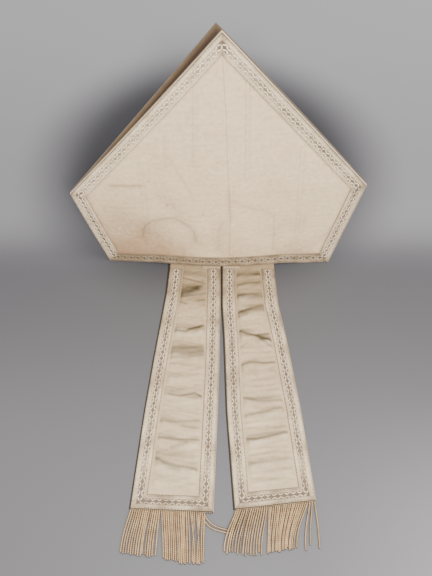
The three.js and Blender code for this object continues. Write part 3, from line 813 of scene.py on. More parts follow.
def gusset_grid(u, v, offset):
    tip_share = 1 - np.abs(2 * u - 1)
    climb = mix(0.12, 1.0, tip_share)

    def horn(tip):
        corner_x = np.where(u < 0.5, WIDE_LEFT[0], WIDE_RIGHT[0])
        corner_z = np.where(u < 0.5, WIDE_LEFT[2], WIDE_RIGHT[2])
        return mix(corner_x, tip[0], climb), mix(corner_z, tip[2], climb)

    back_x, back_z = horn(BACK_TIP)
    front_x, front_z = horn(FRONT_TIP)
    x = mix(back_x, front_x, v)
    valley = mix(140.0, 222.0, np.sin(np.pi * u))
    valley = np.minimum(valley, np.minimum(back_z, front_z) - 5.0)
    slack = 0.25 * ripple(u * 480, v * 60, 26, 40, 31)
    back_y = lambda z: panel_y(BACK, x, z) + GUSSET_REACH
    front_y = lambda z: panel_y(FRONT, x, z) - GUSSET_REACH
    radius = np.maximum((front_y(valley) - back_y(valley)) / 2, 0.35)
    middle = (front_y(valley) + back_y(valley)) / 2
    down = mix(back_z + 0.6, valley, v / LEG_SHARE)
    up = mix(front_z + 0.9, valley, (1 - v) / LEG_SHARE)
    angle = np.pi * (v - LEG_SHARE) / (1 - 2 * LEG_SHARE)
    drop = np.minimum(radius, 6.0)
    limp = slack * smooth_step((radius - 1.2) / 2) * smooth_step(np.minimum(v, 1 - v) / 0.06)
    y = np.where(
        v <= LEG_SHARE, back_y(down) - offset + np.abs(limp),
        np.where(v >= 1 - LEG_SHARE, front_y(up) + offset - np.abs(limp),
                 middle - (radius + offset) * np.cos(angle)),
    )
    z = np.where(v <= LEG_SHARE, down,
                 np.where(v >= 1 - LEG_SHARE, up, valley - (drop + offset) * np.sin(angle)))
    depth = np.maximum(back_z, front_z) - z
    return np.stack([x, y, z], -1), depth


def gusset_mesh():
    path = np.concatenate([
        np.linspace(0, LEG_SHARE, 34, endpoint=False),
        np.linspace(LEG_SHARE, 1 - LEG_SHARE, 14, endpoint=False),
        np.linspace(1 - LEG_SHARE, 1, 34),
    ])
    u, v = np.meshgrid(np.linspace(0, 1, 220), path, indexing="ij")
    upper, depth = gusset_grid(u, v, -GUSSET_WALL / 2)
    under, _ = gusset_grid(u, v, GUSSET_WALL / 2)
    return shell_mesh("gusset_cloth", upper, under, {"depth": np.clip((depth - 1.0) / 6, 0, 1)})


gusset = add_piece("gusset_cloth", gusset_mesh(), [lining, lining], ["gusset"])

# %% [markdown]
# ## Galloon on the panels
# A woven band with two raised cords and a sunk middle is sewn round each panel and mitred at the
# corners. Its section is a short table of heights across the band, swept along the panel's surface.
# Mesh code suits it, because the ends must be cut on the slant.

# %% The galloon's section and the panels' bands
TRIM_INSET = 0.5
CUT_GAP = 0.25

# millimetres across the band from its outer edge, and height above the silk
SECTION = np.array([
    (0.0, 0.35), (0.35, 0.85), (1.0, 1.0), (1.7, 0.82), (3.6, 0.86), (4.1, 1.12), (4.6, 1.12),
    (5.1, 0.72), (7.0, 0.66), (8.8, 0.66), (10.6, 0.66), (12.5, 0.72), (13.0, 1.10), (13.5, 1.10),
    (14.0, 0.78), (15.0, 0.90), (16.0, 0.82), (16.35, 0.55), (16.5, 0.30),
])
REPEAT = 18.0
BAND_NAMES = ["base", "lower_right", "upper_right", "upper_left", "lower_left"]


def inset_outline(panel, distance):
    """The five corners of the panel's outline moved inwards, as (x, z)."""
    outline = [HEM_LEFT, HEM_RIGHT, WIDE_RIGHT, panel["tip"], WIDE_LEFT]
    corners = [np.array((c[0], c[2])) for c in outline]
    lines = []
    for a, b in zip(corners, corners[1:] + corners[:1]):
        along = (b - a) / np.linalg.norm(b - a)
        lines.append((a + distance * np.array((-along[1], along[0])), along))
    inset = []
    for (last_start, last_way), (start, way) in zip(lines[-1:] + lines[:-1], lines):
        crossing = last_way[0] * way[1] - last_way[1] * way[0]
        apart = start - last_start
        inset.append(last_start + last_way * (apart[0] * way[1] - apart[1] * way[0]) / crossing)
    return inset


def panel_band(panel, number):
    """A function (t, w) -> x, z over one border band; w is in millimetres from its outer edge."""
    outer, inner = inset_outline(panel, TRIM_INSET), inset_outline(panel, TRIM_INSET + BAND_WIDTH)
    following = (number + 1) % 5
    length = float(np.linalg.norm(outer[following] - outer[number]))

    def at(t, w):
        kept = mix(CUT_GAP / length, 1 - CUT_GAP / length, t)[..., None]
        share = (w / BAND_WIDTH)[..., None]
        start = mix(outer[number], inner[number], share)
        end = mix(outer[following], inner[following], share)
        return mix(start, end, kept)

    return at, length


# how dark each band is at its start and end: soil, with painted shade on the base band, which faces down and
# gets less light
BACK_SOIL_AND_SHADE = {"base": (1.0, 0.72), "lower_right": (0.3, 0.26), "upper_right": (0.2, 0.1),
             "upper_left": (0.02, 0.06), "lower_left": (0.2, 0.32)}
band_pieces, knot_lines, stitch_lines = {}, {}, {}


def add_panel_band(panel, prefix, number):
    name = BAND_NAMES[number]
    at, length = panel_band(panel, number)
    repeats = max(1, round(length / REPEAT))
    rides = name == "base" and panel["side"] < 0

    def surface(t, w, height):
        plan = at(t, w)
        x = plan[..., 0]
        z = plan[..., 1] + (hem_lift(x) if rides else 0.0)
        y = panel_y(panel, x, z) + panel["side"] * (PANEL_WALL / 2 + height)
        return np.stack([x, y, z], -1)

    t, w = np.meshgrid(np.linspace(0, 1, max(12, int(length / 1.8))), SECTION[:, 0], indexing="ij")
    heights = np.broadcast_to(SECTION[:, 1], t.shape)
    slack = 1 + 0.07 * np.sin(t * length / 11 + number) * (w > 14)
    start, end = BACK_SOIL_AND_SHADE[name] if panel["side"] < 0 else (0.25, 0.2)
    worn_edge = (0.7 if panel["side"] > 0 else 0.25) * np.exp(-((w / 1.3) ** 2))
    worn_edge = worn_edge + 0.4 * (np.exp(-((t * length / 7) ** 2)) + np.exp(-(((1 - t) * length / 7) ** 2)))
    soil_and_shade = np.clip(mix(start, end, t) + worn_edge + 0.08 * ripple(t * length, w, 40, 30, 41 + number), 0, 1)
    uv = np.stack([t * repeats, w / BAND_WIDTH], -1)
    mesh = shell_mesh(f"{prefix}_galloon_{name}", surface(t, w, heights * slack),
                      surface(t, w, np.full(t.shape, 0.06)), {"soil_and_shade": soil_and_shade}, uv)
    node = f"{prefix}_trim_{name}"
    band_pieces[node] = add_piece(f"{prefix}_galloon_{name}", mesh, [galloon, galloon], [node])

    def line(w_mm, height, first, last, count):
        s = np.linspace(first, last, count)
        points = surface(s, np.full(count, w_mm), height)
        return {"points": points, "out": outward(panel, points[:, 0], points[:, 2]),
                "soil_and_shade": mix(start, end, s), "count": 2 * repeats}

    half = 0.25 / repeats
    knot_lines.setdefault(prefix, []).append(line(KNOT_ROW, 0.80, half, 1 - half, 48))
    edge = 3.0 / length
    inner_cut = 13.0 / length
    stitch_lines.setdefault(prefix, []).extend([
        line(15.55, 0.92, inner_cut, 1 - inner_cut, 48),
        line(1.35, 0.98, edge, 1 - edge, 48),
    ])


for prefix, panel in (("back", BACK), ("front", FRONT)):
    for number in range(5):
        add_panel_band(panel, prefix, number)

# %% [markdown]
# ## The lappets
# Each lappet is a long strip of satin with galloon on three sides. It is sewn inside the back hem, turns under
# it and lies on the table. Its silk has shrunk against the stiffer galloon, so it puckers in folds that run
# across. The folds are drawn as a table, with finer ripples and small tucks beside the stitching added by
# rule. A second table holds the dark lines beside the folds. Its numbers were measured and written out by
# another program, not chosen by hand.

# %% The lappets' plan and folds
LAPPET_WALL = 1.6
TONGUE_HEIGHT = 16.0
TONGUE_BEND = 2.2
TUCK_PITCH = 8.3
GALLOON_SHARE = 0.25

# outer x, outer y, inner x, inner y from the hem to the end
LAPPET_PLANS = {
    "left": np.array([(-65.0, -30, 1.7, -30), (-67.7, -68, 1.9, -68), (-79.6, -163, 0.3, -164),
                      (-87.2, -232, -1.9, -233), (-97.8, -351, -6.8, -355)]),
    "right": np.array([(72.2, -30, 4.2, -30), (75.6, -88, 3.9, -88), (83.0, -134, 6.2, -136),
                       (95.3, -232, 8.6, -234), (105.6, -342, 16.0, -352)]),
}

# distance from the hem, height, half width, slant towards the tip at the inner end
LAPPET_FOLDS = {
    "left": [(16, 1.6, 5, 4), (40, 2.8, 9, -6), (61, 2.0, 6, 3), (101, 3.0, 7, -5), (133, 2.6, 9, 2),
             (166, 1.6, 6, -2), (191, 2.6, 6, 2), (229, 2.2, 6, 5), (249, 2.4, 6, 3), (276, 2.4, 8, 14)],
    "right": [(15, 1.8, 5, -2), (32, 1.6, 5, 2), (49, 2.4, 6, 1), (74, 3.0, 8, 10), (113, 3.0, 7, -18),
              (150, 1.8, 6, 3), (159, 1.4, 5, -2), (198, 2.2, 6, 1), (215, 1.8, 6, 4), (243, 2.8, 7, 9),
              (275, 1.8, 7, 4)],
}


# shadow lines painted in the silk's colour beside its folds: a line in plan, half width, strength
LAPPET_SHADOWS = {
    "left": [
        ([(-49.6, -44.3), (-29.9, -50.6), (-14.4, -55.3)], 1.1, 0.55),
        ([(-50.3, -66.2), (-37.6, -60.0), (-23.4, -58.5)], 2.6, 0.35),
        ([(-48.9, -70.9), (-38.7, -67.8), (-28.5, -63.1)], 4.6, 0.75),
        ([(-50.1, -75.5), (-34.8, -72.4), (-14.3, -69.3)], 1.6, 0.45),
        ([(-28.3, -80.1), (-14.2, -78.6)], 1.2, 0.5),
        ([(-52.5, -81.6), (-40.9, -86.2)], 1.2, 0.45),
        ([(-47.1, -37.9), (-15.7, -41.1)], 4.0, 0.25),
        ([(-53.8, -126.2), (-41.3, -127.7), (-32.7, -121.9), (-20.2, -118.9)], 1.6, 0.5),
        ([(-38.9, -124.8), (-25.2, -120.4)], 3.0, 0.3),
        ([(-55.5, -150.6), (-35.9, -150.6), (-17.5, -149.1)], 3.0, 0.4),
        ([(-57.8, -156.2), (-35.8, -157.6), (-17.5, -154.8)], 4.2, 0.4),
        ([(-60.1, -163.2), (-38.1, -163.2), (-18.6, -160.4)], 1.8, 0.28),
        ([(-62.3, -170.1), (-42.8, -172.8)], 1.8, 0.2),
        ([(-60.8, -213.1), (-46.5, -215.8), (-28.9, -211.8), (-19.3, -217.1)], 1.4, 0.5),
        ([(-64.7, -202.6), (-39.6, -206.6)], 1.6, 0.16),
        ([(-68.9, -247.8), (-50.3, -249.1), (-24.9, -246.6)], 1.8, 0.34),
        ([(-44.4, -252.9), (-24.8, -256.6)], 1.8, 0.24),
        ([(-71.6, -267.7), (-49.7, -270.2), (-22.3, -271.4)], 1.6, 0.42),
        ([(-55.1, -279.9), (-38.2, -275.1)], 2.4, 0.3),
        ([(-76.3, -290.7), (-61.3, -299.1), (-38.7, -304.9), (-24.1, -307.3)], 1.8, 0.4),
        ([(-69.3, -295.5), (-57.8, -301.4), (-46.5, -306.1)], 3.4, 0.3),
    ],
    "right": [
        ([(23.4, -41.1), (53.4, -39.5)], 3.2, 0.55),
        ([(23.2, -56.9), (55.6, -52.2)], 2.2, 0.34),
        ([(22.9, -74.0), (54.9, -74.0)], 3.8, 0.46),
        ([(23.8, -99.7), (35.3, -93.7), (57.0, -87.7)], 1.8, 0.36),
        ([(28.9, -98.2), (41.6, -93.7), (56.8, -93.7)], 4.0, 0.3),
        ([(23.7, -105.7), (35.1, -102.7)], 1.6, 0.32),
        ([(23.4, -126.2), (38.2, -132.0), (52.9, -136.3), (66.4, -140.6)], 1.9, 0.55),
        ([(48.1, -130.6), (65.6, -129.1)], 1.4, 0.36),
        ([(48.1, -133.5), (64.1, -136.3)], 3.0, 0.32),
        ([(50.4, -137.8), (69.6, -152.0)], 1.5, 0.4),
        ([(25.5, -149.1), (34.2, -143.5)], 1.8, 0.26),
        ([(25.1, -174.2), (37.3, -170.1), (51.8, -171.5), (70.0, -170.1)], 1.5, 0.42),
        ([(24.9, -182.4), (44.2, -182.4)], 1.6, 0.14),
        ([(61.1, -181.1), (74.2, -185.1)], 1.6, 0.24),
        ([(26.7, -217.1), (45.4, -222.3), (77.3, -221.0)], 2.0, 0.38),
        ([(26.3, -241.5), (45.0, -237.7), (74.3, -235.2)], 1.6, 0.28),
        ([(28.0, -270.2), (42.9, -270.2), (57.9, -266.5), (77.6, -261.6)], 1.9, 0.55),
        ([(31.9, -299.1), (73.6, -296.7)], 2.4, 0.12),
    ],
}


def lappet_length(side):
    plan = LAPPET_PLANS[side]
    return abs(plan[-1, 1] - plan[0, 1])


def lappet_plan(side, across, s):
    """x and y on the table: a share across from the outer edge, s from the hem (0) to the end (1)."""
    plan = LAPPET_PLANS[side]
    gone = np.abs(plan[:, 1] - plan[0, 1])
    reached = s * lappet_length(side)
    outer_x, outer_y, inner_x, inner_y = (np.interp(reached, gone, plan[:, i]) for i in range(4))
    return mix(outer_x, inner_x, across), mix(outer_y, inner_y, across)


def lappet_width(side, s):
    outer_x, outer_y = lappet_plan(side, 0.0, s)
    inner_x, inner_y = lappet_plan(side, 1.0, s)
    return np.hypot(outer_x - inner_x, outer_y - inner_y)


def across_lappet(t, width):
    covered = (TRIM_INSET + BAND_WIDTH + 1) / width
    middle = mix(covered, 1 - covered, (t - GALLOON_SHARE) / (1 - 2 * GALLOON_SHARE))
    return np.where(t <= GALLOON_SHARE, t / GALLOON_SHARE * covered,
                    np.where(t >= 1 - GALLOON_SHARE, 1 - (1 - t) / GALLOON_SHARE * covered, middle))


def fold_lift(side, distance, t, to_end):
    """Height of the silk's folds above the table; flat under the galloon."""
    share = (t - GALLOON_SHARE) / (1 - 2 * GALLOON_SHARE)
    free = smooth_step((0.5 - np.abs(share - 0.5)) / 0.12) * smooth_step((to_end - 17.5) / 8)
    seed = 51 if side == "left" else 61
    wander = 2.2 * ripple(share * 40, distance, 34, 60, seed)
    lift = 0.0
    for at, height, half, slant in LAPPET_FOLDS[side]:
        offset = distance + wander - at - slant * (share - 0.5)
        skewed = np.where(offset < 0, offset / (half * 1.15), offset / (half * 0.72))
        fade = 0.72 + 0.28 * np.sin(share * 2.6 + at)
        lift = lift + height * fade * np.exp(-(skewed**2))
    lift = lift + 0.34 * (1 + ripple(share * 44, distance, 70, 11, seed + 1))
    lift = lift + 0.16 * (1 + ripple(share * 44, distance, 24, 5.5, seed + 2))
    tucks = np.exp(-(0.5 - np.abs(share - 0.5)) / 0.10) * 0.45
    drift = 2 * ripple(distance, 0 * distance, 40, 40, seed + 3)
    lift = lift + tucks * (1 + np.sin(distance * 2 * np.pi / TUCK_PITCH + drift))
    return np.maximum(free * lift, 0.0)


# %% The lappets' silk


def lappet_grid(side, offset):
    """Points, distance from the hem and share across, on one side of the lappet's cloth."""
    t = np.concatenate([np.linspace(0, GALLOON_SHARE, 7, endpoint=False),
                        np.linspace(GALLOON_SHARE, 1 - GALLOON_SHARE, 46, endpoint=False),
                        np.linspace(1 - GALLOON_SHARE, 1, 8)])
    bend_z = LAPPET_WALL / 2 + TONGUE_BEND
    reach = (PANEL_WALL + LAPPET_WALL) / 2 + 0.6
    points, distances = [], []
    for v in np.concatenate([np.linspace(-1, 0, 5, endpoint=False), np.linspace(0, 1, 9, endpoint=False),
                             np.linspace(1, 2, 262)]):
        s = max(v - 1.0, 0.0)
        across = across_lappet(t, lappet_width(side, s))
        top_x = lappet_plan(side, across, 0.0)[0]
        inner = panel_y(BACK, top_x, np.full(t.shape, bend_z)) + reach
        x, distance = top_x, np.zeros(t.shape)
        if v < 0:
            z = np.full(t.shape, mix(bend_z, TONGUE_HEIGHT, -v))
            y = panel_y(BACK, top_x, z) + reach + offset
        elif v < 1:
            angle = math.pi / 2 * v
            y = inner - TONGUE_BEND + (TONGUE_BEND + offset) * math.cos(angle)
            z = np.full(t.shape, bend_z - (TONGUE_BEND + offset) * math.sin(angle))
        else:
            x, plan_y = lappet_plan(side, across, s)
            y = plan_y if v > 1 else inner - TONGUE_BEND
            distance = panel_y(BACK, x, np.full(t.shape, 2.6)) - PANEL_WALL / 2 - plan_y
            lift = fold_lift(side, distance, t, (1 - s) * lappet_length(side)) if v > 1 else np.zeros(t.shape)
            z = LAPPET_WALL / 2 + lift - offset
            # The underside reaches past the lappet's left edge, so that the shadow line painted there shows
            # from above.
            if offset > 0:
                x = x - (1.4 + 0.9 * math.exp(-s / 0.2)) * (t == (0.0 if side == "left" else 1.0))
        points.append(np.stack([x, y, z], -1))
        distances.append(distance)
    return np.array(points), np.array(distances), np.broadcast_to(t, (len(points), len(t)))


def lappet_mesh(side):
    face, distance, t = lappet_grid(side, -LAPPET_WALL / 2)
    under, _, _ = lappet_grid(side, LAPPET_WALL / 2)
    slope = np.gradient(face[..., 2], axis=0) / np.maximum(np.abs(np.gradient(face[..., 1], axis=0)), 0.2)
    on_table = distance > 4
    shade = np.zeros(distance.shape)
    share = np.clip((t - GALLOON_SHARE) / (1 - 2 * GALLOON_SHARE), 0, 1)
    inside = smooth_step((0.5 - np.abs(share - 0.5)) / 0.05)
    for at, height, half, slant in LAPPET_FOLDS[side]:
        offset = distance - at - slant * (share - 0.5) + 1.5 * ripple(share * 40, distance, 34, 60, 72)
        shade = shade + height / 3.0 * np.exp(-((offset + 0.45 * half) / (0.85 * half)) ** 2)
    uneven = 0.8 + 0.35 * ripple(share * 44, distance, 30, 26, 73)
    x, y = face[..., 0], face[..., 1]
    # Shadow lines painted beside the folds.
    painted_shadow_lines = np.zeros(distance.shape)
    for line, half, strength in LAPPET_SHADOWS[side]:
        painted_shadow_lines = painted_shadow_lines + 1.15 * strength * np.exp(-((from_line(x, y, line) / half) ** 2)) * (1 - painted_shadow_lines)
    # All of the folds' shade is painted into the silk: the shadow lines, bands from the fold table and the
    # slopes that rise towards the tip.
    painted_fold_shade = on_table * inside * (painted_shadow_lines + 0.22 * shade * uneven + np.clip(slope * 0.5, 0, 0.25))
    # The silk is darker close to the hem.
    near_hem = 0.62 * np.exp(-((distance - 14) / 56) ** 2) * on_table
    soil_and_shade = 0.10 + near_hem + 0.10 * np.exp(-((distance - 130) / 60) ** 2)
    soil_and_shade = soil_and_shade + 0.05 * ripple(face[..., 0], face[..., 1], 50, 50, 71)
    zero = np.zeros(distance.shape)
    # The left edge is painted near-black, as the shadow line along it.
    painted_edge_shadow = (t == (0.0 if side == "left" else 1.0)) * 0.95
    marks = {"soil_and_shade": np.clip(soil_and_shade, 0, 1), "painted_fold_shade": np.clip(painted_fold_shade, 0, 1), "tide_marks_and_shade": zero, "specks_and_edge_shadow": painted_edge_shadow}
    return shell_mesh(f"lappet_{side}_silk", face, under, marks)


lappets = {
    side: add_piece(f"lappet_{side}_silk", lappet_mesh(side), [lappet_silk, lappet_silk],
                    [f"lappet_{side}"])
    for side in ("left", "right")
}

# %% [markdown]
# The same galloon lies flat on the lappets, down both long sides and across the end. Its section
# table and its material are the ones from the panels, so the bands match.

# %% Galloon on the lappets


def add_lappet_band(side, name):
    length = lappet_length(side)
    last = 1 - TRIM_INSET / length
    corner = last - BAND_WIDTH / length
    cut = CUT_GAP / length
    crossing = name == "bottom"

    def surface(t, w, height):
        share_w = w / BAND_WIDTH
        if crossing:
            s = mix(last, corner, share_w)
            across = (TRIM_INSET + CUT_GAP + w) / lappet_width(side, s)
            x, y = lappet_plan(side, mix(across, 1 - across, t), s)
        else:
            s = mix(0.002, mix(last - cut, corner - cut, share_w), t)
            across = (TRIM_INSET + w) / lappet_width(side, s)
            x, y = lappet_plan(side, 1 - across if name == "inner" else across, s)
        return np.stack([x, y, np.broadcast_to(LAPPET_WALL + height, x.shape)], -1)

    run = float(lappet_width(side, 1.0)) if crossing else length
    repeats = max(1, round(run / REPEAT))
    t, w = np.meshgrid(np.linspace(0, 1, int(run / 1.8)), SECTION[:, 0], indexing="ij")
    heights = np.broadcast_to(SECTION[:, 1], t.shape) + 0.10 * (1 + ripple(t * run, w, 60, 60, 81))
    wear_and_shade = 0.55 if crossing else 0.34
    # The long bands are darker close to the hem.
    darker_at_hem = (0 if crossing else 0.5) * (1 - t) ** 5
    soil_and_shade = np.clip(wear_and_shade + 0.14 * ripple(t * run, w, 60, 40, 82) + darker_at_hem, 0, 1)
    uv = np.stack([t * repeats, w / BAND_WIDTH], -1)
    mesh = shell_mesh(f"lappet_{side}_galloon_{name}", surface(t, w, heights),
                      surface(t, w, np.full(t.shape, 0.1)), {"soil_and_shade": soil_and_shade}, uv)
    node = f"lappet_{side}_trim_{name}"
    band_pieces[node] = add_piece(f"lappet_{side}_galloon_{name}", mesh,
                                  [galloon, galloon], [node])

    def line(w_mm, height, first, end, count):
        steps = np.linspace(first, end, count)
        points = surface(steps, np.full(count, w_mm), height)
        return {"points": points, "out": np.tile([0.0, 0.0, 1.0], (count, 1)),
                "soil_and_shade": np.full(count, wear_and_shade + 0.05), "count": 2 * repeats}

    half = 0.25 / repeats
    key = f"lappet_{side}"
    knot_lines.setdefault(key, []).append(line(KNOT_ROW, 0.94, half, 1 - half, 48))
    inner_cut = 15.0 / run if crossing else 0.01
    stitch_lines.setdefault(key, []).extend([
        line(15.55, 1.10, inner_cut, 1 - inner_cut, 48),
        line(1.35, 1.16, 3.0 / run, 1 - 3.0 / run, 48),
    ])


for side in ("left", "right"):
    for name in ("outer", "inner", "bottom"):
        add_lappet_band(side, name)

# %% [markdown]
# ## Knots and stitches
# Each knot is a ring of four slanted ovals, and the rings lie so close that they read as a chain.
# Hundreds of rings and stitches lie along the bands, so they are grown along a line by Geometry
# Nodes. The line carries the band's outward direction as an attribute, and Axes to Rotation turns
# each copy to the line and to the cloth at once. Instances keep the tree light, and they are
# realized at the end, because the finished piece must be one plain mesh.

# %% Small helpers for geometry nodes


def geometry_tree(name, inputs):
    tree = bpy.data.node_groups.new(name, "GeometryNodeTree")
    tree.interface.new_socket("Geometry", in_out="INPUT", socket_type="NodeSocketGeometry")
    for label, kind, value in inputs:
        socket = tree.interface.new_socket(label, in_out="INPUT", socket_type=kind)
        if value is not None:
            socket.default_value = value
    tree.interface.new_socket("Geometry", in_out="OUTPUT", socket_type="NodeSocketGeometry")
    return tree, tree.nodes.new("NodeGroupInput").outputs, tree.nodes.new("NodeGroupOutput").inputs


def step(tree, kind, settings=None, **values):
    """Adds a node, sets its properties and its inputs, and gives its outputs."""
    node = tree.nodes.new(kind)
    for key, value in (settings or {}).items():
        setattr(node, key, value)
    for label, value in values.items():
        socket = node.inputs[int(label[1:])] if label[1:].isdigit() else node.inputs[label.replace("_", " ")]
        if isinstance(value, bpy.types.NodeSocket):
            tree.links.new(value, socket)
        else:
            socket.default_value = value
    return node.outputs


def math_step(tree, operation, *values):
    sockets = {f"_{i}": value for i, value in enumerate(values)}
    return step(tree, "ShaderNodeMath", {"operation": operation}, **sockets)[0]


def line_object(name, lines):
    """One mesh of separate lines. Each carries its outward direction and its soil and painted shade."""
    points, edges, out, soil_and_shade = [], [], [], []
    for line in lines:
        first = sum(len(p) for p in points)
        count = len(line["points"])
        points.append(in_frame(line["points"]))
        out.append(line["out"])
        soil_and_shade.append(line["soil_and_shade"])
        edges += [(first + i, first + i + 1) for i in range(count - 1)]
    mesh = bpy.data.meshes.new(name)
    mesh.from_pydata(np.concatenate(points).tolist(), edges, [])
    layer = mesh.attributes.new("out", "FLOAT_VECTOR", "POINT")
    layer.data.foreach_set("vector", np.concatenate(out).reshape(-1).astype(np.float32))
    layer = mesh.attributes.new("soil_and_shade", "FLOAT", "POINT")
    layer.data.foreach_set("value", np.concatenate(soil_and_shade).astype(np.float32))
    line = bpy.data.objects.new(name, mesh)
    bpy.context.scene.collection.objects.link(line)
    return line


def grow(source, tree, values):
    """Runs a tree on an object and gives the result as a plain mesh; the source is removed."""
    modifier = source.modifiers.new("grow", "NODES")
    modifier.node_group = tree
    for item in tree.interface.items_tree:
        if item.item_type == "SOCKET" and item.in_out == "INPUT" and item.name in values:
            modifier[item.identifier] = values[item.name]
    bpy.context.view_layer.update()
    evaluated = source.evaluated_get(bpy.context.evaluated_depsgraph_get())
    mesh = bpy.data.meshes.new_from_object(evaluated)
    source.modifiers.remove(modifier)
    bpy.data.objects.remove(source)
    return mesh


# %% The tree that ties knots along a band


def knot_tree():
    tree, given, result = geometry_tree("Knots along a band", [
        ("Count", "NodeSocketInt", 16),
        ("Oval Length", "NodeSocketFloat", 0.0058),
        ("Oval Width", "NodeSocketFloat", 0.0020),
        ("Oval Height", "NodeSocketFloat", 0.0011),
        ("Spread Along", "NodeSocketFloat", 0.0045),
        ("Spread Across", "NodeSocketFloat", 0.0037),
        ("Slant", "NodeSocketFloat", 0.50),
        ("Material", "NodeSocketMaterial", None),
    ])
    half = {label: math_step(tree, "MULTIPLY", given[label], 0.5)
            for label in ("Oval Length", "Oval Width", "Oval Height")}
    ball = step(tree, "GeometryNodeMeshUVSphere", Segments=6, Rings=4, Radius=1.0)["Mesh"]
    oval_size = step(tree, "ShaderNodeCombineXYZ", _0=half["Oval Length"], _1=half["Oval Width"],
                     _2=half["Oval Height"])[0]
    oval = step(tree, "GeometryNodeTransform", Geometry=ball, Scale=oval_size)["Geometry"]
    corners = step(tree, "GeometryNodeMeshGrid", Size_X=given["Spread Along"], Size_Y=given["Spread Across"],
                   Vertices_X=2, Vertices_Y=2)["Mesh"]
    place = step(tree, "ShaderNodeSeparateXYZ", _0=step(tree, "GeometryNodeInputPosition")[0])
    quarter = math_step(tree, "SIGN", math_step(tree, "MULTIPLY", place[0], place[1]))
    turn = math_step(tree, "MULTIPLY", quarter, math_step(tree, "MULTIPLY", given["Slant"], -1.0))
    turned = step(tree, "ShaderNodeCombineXYZ", _2=turn)[0]
    ovals = step(tree, "GeometryNodeInstanceOnPoints", Points=corners, Instance=oval, Rotation=turned)[0]
    knot = step(tree, "GeometryNodeRealizeInstances", Geometry=ovals)[0]
    curve = step(tree, "GeometryNodeMeshToCurve", Mesh=given["Geometry"])[0]
    spots = step(tree, "GeometryNodeResampleCurve", {"mode": "COUNT"}, Curve=curve, Count=given["Count"])[0]
    out = step(tree, "GeometryNodeInputNamedAttribute", {"data_type": "FLOAT_VECTOR"}, Name="out")[0]
    tangent = step(tree, "GeometryNodeInputTangent")[0]
    facing = step(tree, "FunctionNodeAxesToRotation", {"primary_axis": "Z", "secondary_axis": "X"},
                  Primary_Axis=out, Secondary_Axis=tangent)[0]
    knots = step(tree, "GeometryNodeInstanceOnPoints", Points=spots, Instance=knot, Rotation=facing)[0]
    solid = step(tree, "GeometryNodeRealizeInstances", Geometry=knots)[0]
    smooth = step(tree, "GeometryNodeSetShadeSmooth", Geometry=solid)[0]
    finished = step(tree, "GeometryNodeSetMaterial", Geometry=smooth, Material=given["Material"])[0]
    tree.links.new(finished, result[0])
    return tree


knots_tree = knot_tree()


def joined_mesh(name, meshes):
    """Several meshes as one, with their attributes."""
    work = bmesh.new()
    for mesh in meshes:
        work.from_mesh(mesh)
    whole = bpy.data.meshes.new(name)
    work.to_mesh(whole)
    work.free()
    whole.polygons.foreach_set("use_smooth", np.ones(len(whole.polygons), bool))
    for mesh in meshes:
        bpy.data.meshes.remove(mesh)
    return whole


for key, lines in knot_lines.items():
    grown = [
        grow(line_object(f"{key}_line", [line]), knots_tree, {"Count": line["count"], "Material": knot_silk})
        for line in lines
    ]
    add_piece(f"{key}_knots", joined_mesh(f"{key}_knots", grown), [knot_silk])

# %% [markdown]
# A stitch is a short thread that shows on top and dives again. Lines of them hold the galloon along
# both of its edges. The tree spaces them by length instead of by count, because every band takes
# the same stitch.

# %% The tree that sews stitches along a line


def stitch_tree():
    tree, given, result = geometry_tree("Stitches along a line", [
        ("Spacing", "NodeSocketFloat", 0.0036),
        ("Stitch Length", "NodeSocketFloat", 0.0021),
        ("Thickness", "NodeSocketFloat", 0.0005),
        ("Material", "NodeSocketMaterial", None),
    ])
    curve = step(tree, "GeometryNodeMeshToCurve", Mesh=given["Geometry"])[0]
    spots = step(tree, "GeometryNodeResampleCurve", {"mode": "LENGTH"}, Curve=curve,
                 Length=given["Spacing"])[0]
    ball = step(tree, "GeometryNodeMeshUVSphere", Segments=6, Rings=4, Radius=0.5)["Mesh"]
    size = step(tree, "ShaderNodeCombineXYZ", _0=given["Stitch Length"], _1=given["Thickness"],
                _2=given["Thickness"])[0]
    stitch = step(tree, "GeometryNodeTransform", Geometry=ball, Scale=size)["Geometry"]
    out = step(tree, "GeometryNodeInputNamedAttribute", {"data_type": "FLOAT_VECTOR"}, Name="out")[0]
    tangent = step(tree, "GeometryNodeInputTangent")[0]
    facing = step(tree, "FunctionNodeAxesToRotation", {"primary_axis": "Z", "secondary_axis": "X"},
                  Primary_Axis=out, Secondary_Axis=tangent)[0]
    sewn = step(tree, "GeometryNodeInstanceOnPoints", Points=spots, Instance=stitch, Rotation=facing)[0]
    solid = step(tree, "GeometryNodeRealizeInstances", Geometry=sewn)[0]
    smooth = step(tree, "GeometryNodeSetShadeSmooth", Geometry=solid)[0]
    finished = step(tree, "GeometryNodeSetMaterial", Geometry=smooth, Material=given["Material"])[0]
    tree.links.new(finished, result[0])
    return tree


stitches_tree = stitch_tree()
for key, lines in stitch_lines.items():
    grown = grow(line_object(f"{key}_seam", lines), stitches_tree, {"Material": sewing_thread})
    add_piece(f"{key}_stitches", grown, [sewing_thread])

# %% [markdown]
# ## The fringes
# A bullion fringe is a row of cords, each a thread twisted until it doubles on itself. Each cord's
# path follows one rule: it leaves the lappet's end, sweeps to a tip placed from a table of tips,
# and lies on the table. Two strands in a round section, turned steadily along the path, make the
# twist, so the tree sets the curve's tilt by its length and runs a two-lobed section along it.

# %% The cords' paths
CORD_RADIUS = 0.98
CORDS = 37
END_STEEPNESS = 40.0  # how suddenly a cord closes at its ends
THINNEST_END = 0.25  # share of the girth

